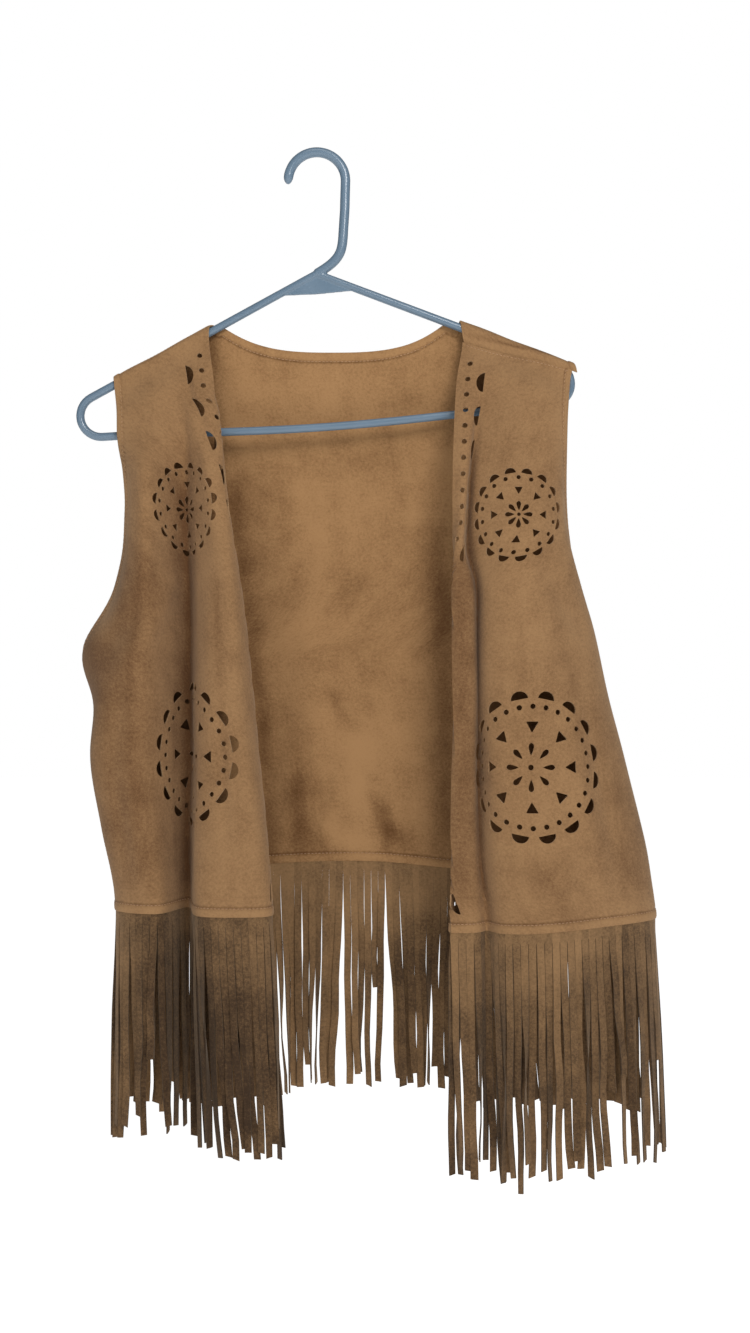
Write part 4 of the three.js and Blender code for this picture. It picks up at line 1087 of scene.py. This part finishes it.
def sewn(name, lines):
    """One mesh of stitches along all of a piece's lines, from one modelled stitch."""
    bpy.ops.object.select_all(action='DESELECT')
    bpy.ops.mesh.primitive_uv_sphere_add(segments=6, ring_count=5, radius=1.0)
    master = bpy.context.object
    shape = np.array([v.co for v in master.data.vertices])
    master_faces = [tuple(p.vertices) for p in master.data.polygons]
    shape = shape[:, [2, 0, 1]] * np.array([STITCH['length'] / 2, STITCH['width'] / 2, STITCH['width'] / 2])
    places = []
    faces = []
    for path, outward in lines:
        steps = np.linalg.norm(np.diff(path, axis=0), axis=1)
        marks = np.concatenate([[0.0], np.cumsum(steps)])
        count = int(marks[-1] / STITCH['pitch'])
        for i in range(count):
            at = (i + 0.5) * marks[-1] / count
            here = np.array([np.interp(at, marks, path[:, k]) for k in range(3)])
            ahead = np.array([np.interp(at + 0.5, marks, path[:, k]) for k in range(3)])
            behind = np.array([np.interp(at - 0.5, marks, path[:, k]) for k in range(3)])
            up = np.array([np.interp(at, marks, outward[:, k]) for k in range(3)])
            along = (ahead - behind) / np.linalg.norm(ahead - behind)
            up = up - along * (up @ along)
            up /= np.linalg.norm(up)
            base = len(places)
            turned = shape @ np.array([along, np.cross(up, along), up])
            places.extend(here + turned)
            faces.extend(tuple(base + i for i in face) for face in master_faces)
    bpy.data.objects.remove(master)
    mesh = bpy.data.meshes.new(name)
    mesh.from_pydata([tuple(p) for p in np.array(places) * MM], [], faces)
    threads = bpy.data.objects.new(name, mesh)
    bpy.context.scene.collection.objects.link(threads)
    bpy.context.view_layer.objects.active = threads
    threads.select_set(True)
    bpy.ops.object.shade_smooth()
    threads.data.materials.append(thread_finish)
    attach(threads, "root")
    return threads


thread = Finish('sewing_thread')
twist = thread.noise(thread.places(), 900.0, 1.0)
thread.surface(
    Base_Color=thread.blend(twist, rgb(0.30, 0.165, 0.080), rgb(0.47, 0.285, 0.155)),
    Roughness=0.62,
)
thread_finish = thread.material


def hem_seam(panel, distance, side):
    shares = np.linspace(0.004, 0.996, 240)
    line = panel.place(shares, lambda x: panel.hem(x) + distance)
    return seam_path(panel, line[:, 0], line[:, 1], side)


def armhole_seam(panel, from_start, side):
    tip = panel.across(np.array([panel.length(-190.0)]), np.array([-190.0]))[0]
    h = np.linspace(float(panel.underarm(tip)[0]) + 3, float(arm_top(tip)[0]) - ROLL - 2, 160)
    a = np.full_like(h, ARM_BAND) if from_start else panel.length(h) - ARM_BAND
    return seam_path(panel, a, h, side)


def shoulder_seam(panel, from_neck, from_tip, distance, side=1):
    shares = np.linspace(from_neck, from_tip, 120)
    line = panel.place(shares, lambda x: panel.top(x) - distance)
    return seam_path(panel, line[:, 0], line[:, 1], side)


def neck_seam(side):
    x = np.linspace(*NECK_ENDS, 200)
    first = back.across(np.zeros(1), np.array([-165.0]))[0][0]
    guess = (x - first)
    for _ in range(6):
        h = back.top(x) - NECK_BAND
        guess += x - back.across(guess, h)[0]
    return seam_path(back, guess, back.top(x) - NECK_BAND, side)


left_threads = sewn('front_left_stitches', [
    hem_seam(left_front, HEM_BAND, 1), armhole_seam(left_front, False, 1),
    shoulder_seam(left_front, 0.03, 0.97, 3.0),
])
right_threads = sewn('front_right_stitches', [
    hem_seam(right_front, HEM_BAND, 1), armhole_seam(right_front, False, 1),
    shoulder_seam(right_front, 0.03, 0.97, 2.2),
])
back_threads = sewn('back_stitches', [
    hem_seam(back, HEM_BAND, 1), hem_seam(back, HEM_BAND, -1), armhole_seam(back, False, 1),
    armhole_seam(back, True, 1), neck_seam(1), neck_seam(-1),
])


# Fringe: a strip of the same suede sewn under each hem and slit into strands up to just below the
# seam. The strands cling together in twos and threes, twist and curl, and no two are quite as long.
# Those of the back part from each other only in its middle, where no front hangs before them.
STRIP = 8.0
STRAND_WALL = 1.0
STRAND_STEPS = 12
SIDE_STRAND_WIDTH = 1.5
TURNED_SHARE = 0.18
SHORT_SHARE = 0.04


def fringe_sheet(name, panel, node, length, flare, style):
    """The slit strip below one panel's hem, as one sheet."""
    draw = random.Random(style['seed'])
    bottom = panel.hem(panel.across(np.array([panel.length(-600.0)]), np.array([-600.0]))[0])[0]
    whole = float(panel.length(bottom))
    count = int(whole / style['pitch'])
    step = whole / count
    places = []
    faces = []
    tone = []
    pattern = []
    outward = []

    def hem_frame(a):
        spot = np.array([a - 0.5, a, a + 0.5])
        x, y = panel.across(spot, np.full(3, bottom))
        origin = np.array([x[1], y[1], float(panel.hem(x)[1])])
        along = np.array([x[2] - x[0], y[2] - y[0], 0.0])
        along /= np.linalg.norm(along)
        return origin, along, panel.flip * np.cross(along, (0.0, 0.0, 1.0))

    def add(place, facing, shade, a, drop):
        places.append(place)
        outward.append(facing)
        tone.append(shade)
        pattern.append((a, -drop))
        return len(places) - 1

    clumps = []
    left = 0
    while len(clumps) < count:
        size = draw.randint(*style['clump'])
        middle = (left + size / 2) * step
        clumps += [{
            'lean': draw.gauss(0, style['lean']), 'middle': middle, 'pull': draw.uniform(*style['pull']),
            'swing': draw.gauss(0, 2.0), 'tone': draw.uniform(-0.06, 0.06),
        }] * size
        left += size
    last = None
    for i, held in zip(range(count), clumps):
        a = (i + 0.5) * step
        parted = eased(a / whole, *style['parts'][0]) * (1 - eased(a / whole, *style['parts'][1]))
        dark = sum(size * near(a, place, width) for place, width, size in style['dark'])
        shade = style['tone'] + held['tone'] + draw.gauss(0, 0.07) - dark
        edges = [a - step / 2 + style['slit'] / 2, a, a + step / 2 - style['slit'] / 2]
        frames = [hem_frame(edge) for edge in edges]
        top = [add(origin, facing, shade, edge, 0.0) for (origin, _, facing), edge in zip(frames, edges)]
        low = [add(origin - (0, 0, STRIP), facing, shade, edge, STRIP)
               for (origin, _, facing), edge in zip(frames, edges)]
        for j in range(2):
            faces.append((top[j], top[j + 1], low[j + 1], low[j]))
        if last:
            faces.append((last[0], top[0], low[0], last[1]))
        last = (top[-1], low[-1])
        origin, along, out = frames[1]
        long = length(a / whole) + draw.gauss(0, 4.0) - (draw.random() < 0.10) * draw.uniform(6, 22)
        long -= (draw.random() < SHORT_SHARE) * draw.uniform(40, 85)
        twist = draw.gauss(0, 0.35)
        twist += (draw.random() < TURNED_SHARE) * draw.choice((-1, 1)) * draw.uniform(0.9, 2.4)
        wave = draw.uniform(0.3, 1.9)
        phase = draw.uniform(0, 2 * math.pi)
        bends = draw.uniform(0.7, 1.9)
        kink = draw.uniform(0.1, 0.6)
        curl = draw.gauss(0, 2.4)
        sideways = (held['lean'] + (held['middle'] - a) * held['pull']) * parted + draw.gauss(0, 0.7)
        slant = draw.uniform(-2.2, 2.2)
        half = (step - style['slit']) / 2
        narrow = between(SIDE_STRAND_WIDTH, draw.uniform(*style['width']), parted)
        stagger = (1 if i % 2 else -1) * draw.uniform(0.4, 1.4)
        row = low
        for k in range(1, STRAND_STEPS + 1):
            t = k / STRAND_STEPS
            ease = t * t * (3 - 2 * t)
            bow = wave * math.sin(phase + 2 * math.pi * bends * t) + kink * math.sin(3 * phase + 19 * t)
            drift = sideways * (0.35 * t + 0.65 * ease) + bow * t
            depth = stagger * min(1.0, 2.5 * t) + (curl + held['swing']) * t ** 1.8
            spread = between(flare[0], flare[1], a / whole) * t
            turn = twist * ease
            wide = along * math.cos(turn) + out * math.sin(turn)
            middle_point = origin + along * drift + out * depth + np.array([spread, 0, -STRIP - long * t])
            width = half * between(1.0, narrow, t) * (1 + 0.07 * t * math.sin(phase + 11 * t))
            cup = 0.35 * math.sin(turn * 1.3 + phase)
            facing = out * math.cos(turn) - along * math.sin(turn)
            fallen = shade - 0.18 * eased(t, 0.0, 0.45)
            new = []
            for side in (-1, 0, 1):
                lift = slant * side / 2 if k == STRAND_STEPS else 0.0
                bulge = facing * (cup * (1 - abs(side)) * t)
                place = middle_point + wide * (side * width) + bulge + (0, 0, lift)
                new.append(add(place, facing, fallen, a + side * width, STRIP + long * t))
            for j in range(2):
                faces.append((row[j], row[j + 1], new[j + 1], new[j]))
            row = new
    places = np.array(places)
    outward = np.array(outward)
    if panel.flip < 0:
        faces = [face[::-1] for face in faces]
    plain = np.zeros(len(places))
    marks = {'nap_and_painted_shade': (plain, plain), 'strand': (np.array(tone), np.array(tone))}
    half = STRAND_WALL / 2 * outward
    sheet = sheet_object(name, places + half, places - half, faces, marks, np.array(pattern))
    for material in (fringe_outside, fringe_outside, fringe_cut):
        sheet.data.materials.append(material)
    bpy.ops.object.shade_smooth_by_angle(angle=math.radians(40))
    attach(sheet, "root")
    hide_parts(node)
    return sheet


fringe_outside = suede_finish(
    'fringe_suede', rgb(0.262, 0.150, 0.068), rgb(0.034, 0.018, 0.009), 0.8, 'strand')
fringe_cut = suede_finish(
    'fringe_cut_edge', rgb(0.13, 0.075, 0.036), rgb(0.03, 0.018, 0.010), 0.3, 'strand')


def left_length(share):
    return 180.0 + 6.0 * math.sin(share * 7.0) - 4.0 * share


def right_length(share):
    return 186.0 + 3.0 * math.sin(share * 5.0 + 0.4) + 2.0 * share


def back_length(share):
    return 188.0 + 6.0 * math.sin(share * 9.0)


EVERYWHERE = ((-0.2, -0.1), (1.1, 1.2))
# The 'dark' spots paint shade into the strands: under the fronts' valleys and turned sides, and in the back's
# fringe where the fronts' fringes hang before it.
fringe_left = fringe_sheet(
    'front_left_fringe', left_front, 'fringe_front_left', left_length, (10.0, -2.0),
    {'seed': 11, 'pitch': 6.0, 'slit': 0.35, 'clump': (1, 4), 'lean': 2.0, 'pull': (0.0, 0.14),
     'width': (0.90, 1.06), 'parts': EVERYWHERE, 'tone': -0.16,
     'dark': [(100.0, 26.0, 0.20), (240.0, 20.0, 0.10)]})
fringe_right = fringe_sheet(
    'front_right_fringe', right_front, 'fringe_front_right', right_length, (3.0, 9.0),
    {'seed': 23, 'pitch': 6.2, 'slit': 0.35, 'clump': (1, 4), 'lean': 1.9, 'pull': (0.0, 0.14),
     'width': (0.90, 1.06), 'parts': EVERYWHERE, 'tone': -0.10,
     'dark': [(42.0, 12.0, 0.15)]})
fringe_back = fringe_sheet(
    'back_fringe', back, 'fringe_back', back_length, (-1.0, 9.0),
    {'seed': 37, 'pitch': 6.0, 'slit': 0.05, 'clump': (2, 6), 'lean': 4.0, 'pull': (0.15, 0.45),
     'width': (0.85, 1.05), 'parts': ((0.24, 0.29), (0.66, 0.70)), 'tone': 0.04,
     'dark': [(100.0, 40.0, 0.12), (360.0, 50.0, 0.12)]})


# Studio: a pale floor well below the fringe, plain white surroundings and three soft lights,
# the strongest high on the right, so that the folds shade softly towards the left.
FLOOR_HEIGHT = -1.12
SURROUND = {'light': 0.085, 'seen': 1.0}

bpy.ops.mesh.primitive_plane_add(size=16.0, location=(0, 0, FLOOR_HEIGHT))
floor = bpy.context.object
floor.name = 'floor'
bpy.ops.object.transform_apply(location=True, rotation=True, scale=True)
paint = Finish('floor_paint')
paint.surface(Base_Color=rgb(0.9, 0.9, 0.9), Roughness=0.8, Emission_Color=rgb(1.0, 1.0, 1.0),
              Emission_Strength=0.93)
floor.data.materials.append(paint.material)

world = bpy.data.worlds.new('studio')
bpy.context.scene.world = world
world.use_nodes = True
surround = world.node_tree.nodes['Background']
surround.inputs['Color'].default_value = (1.0, 1.0, 1.0, 1.0)
ray = world.node_tree.nodes.new('ShaderNodeLightPath')
lift = world.node_tree.nodes.new('ShaderNodeMapRange')
lift.inputs['To Min'].default_value = SURROUND['light']
lift.inputs['To Max'].default_value = SURROUND['seen']
world.node_tree.links.new(ray.outputs['Is Camera Ray'], lift.inputs['Value'])
world.node_tree.links.new(lift.outputs['Result'], surround.inputs['Strength'])


def soft_light(name, place, aim, size, power):
    turn = (Vector(aim) - Vector(place)).to_track_quat('-Z', 'Y').to_euler()
    bpy.ops.object.light_add(type='AREA', location=place, rotation=turn)
    light = bpy.context.object
    light.name = name
    light.data.shape = 'SQUARE'
    light.data.size = size
    light.data.energy = power


soft_light('key', (0.65, -1.75, 0.75), (0.05, 0.0, -0.35), 0.7, 24.0)
soft_light('fill', (-0.9, -2.0, 0.1), (0.05, 0.0, -0.40), 1.2, 5.0)
soft_light('top', (0.1, -0.9, 1.1), (0.05, 0.0, -0.3), 0.8, 4.5)
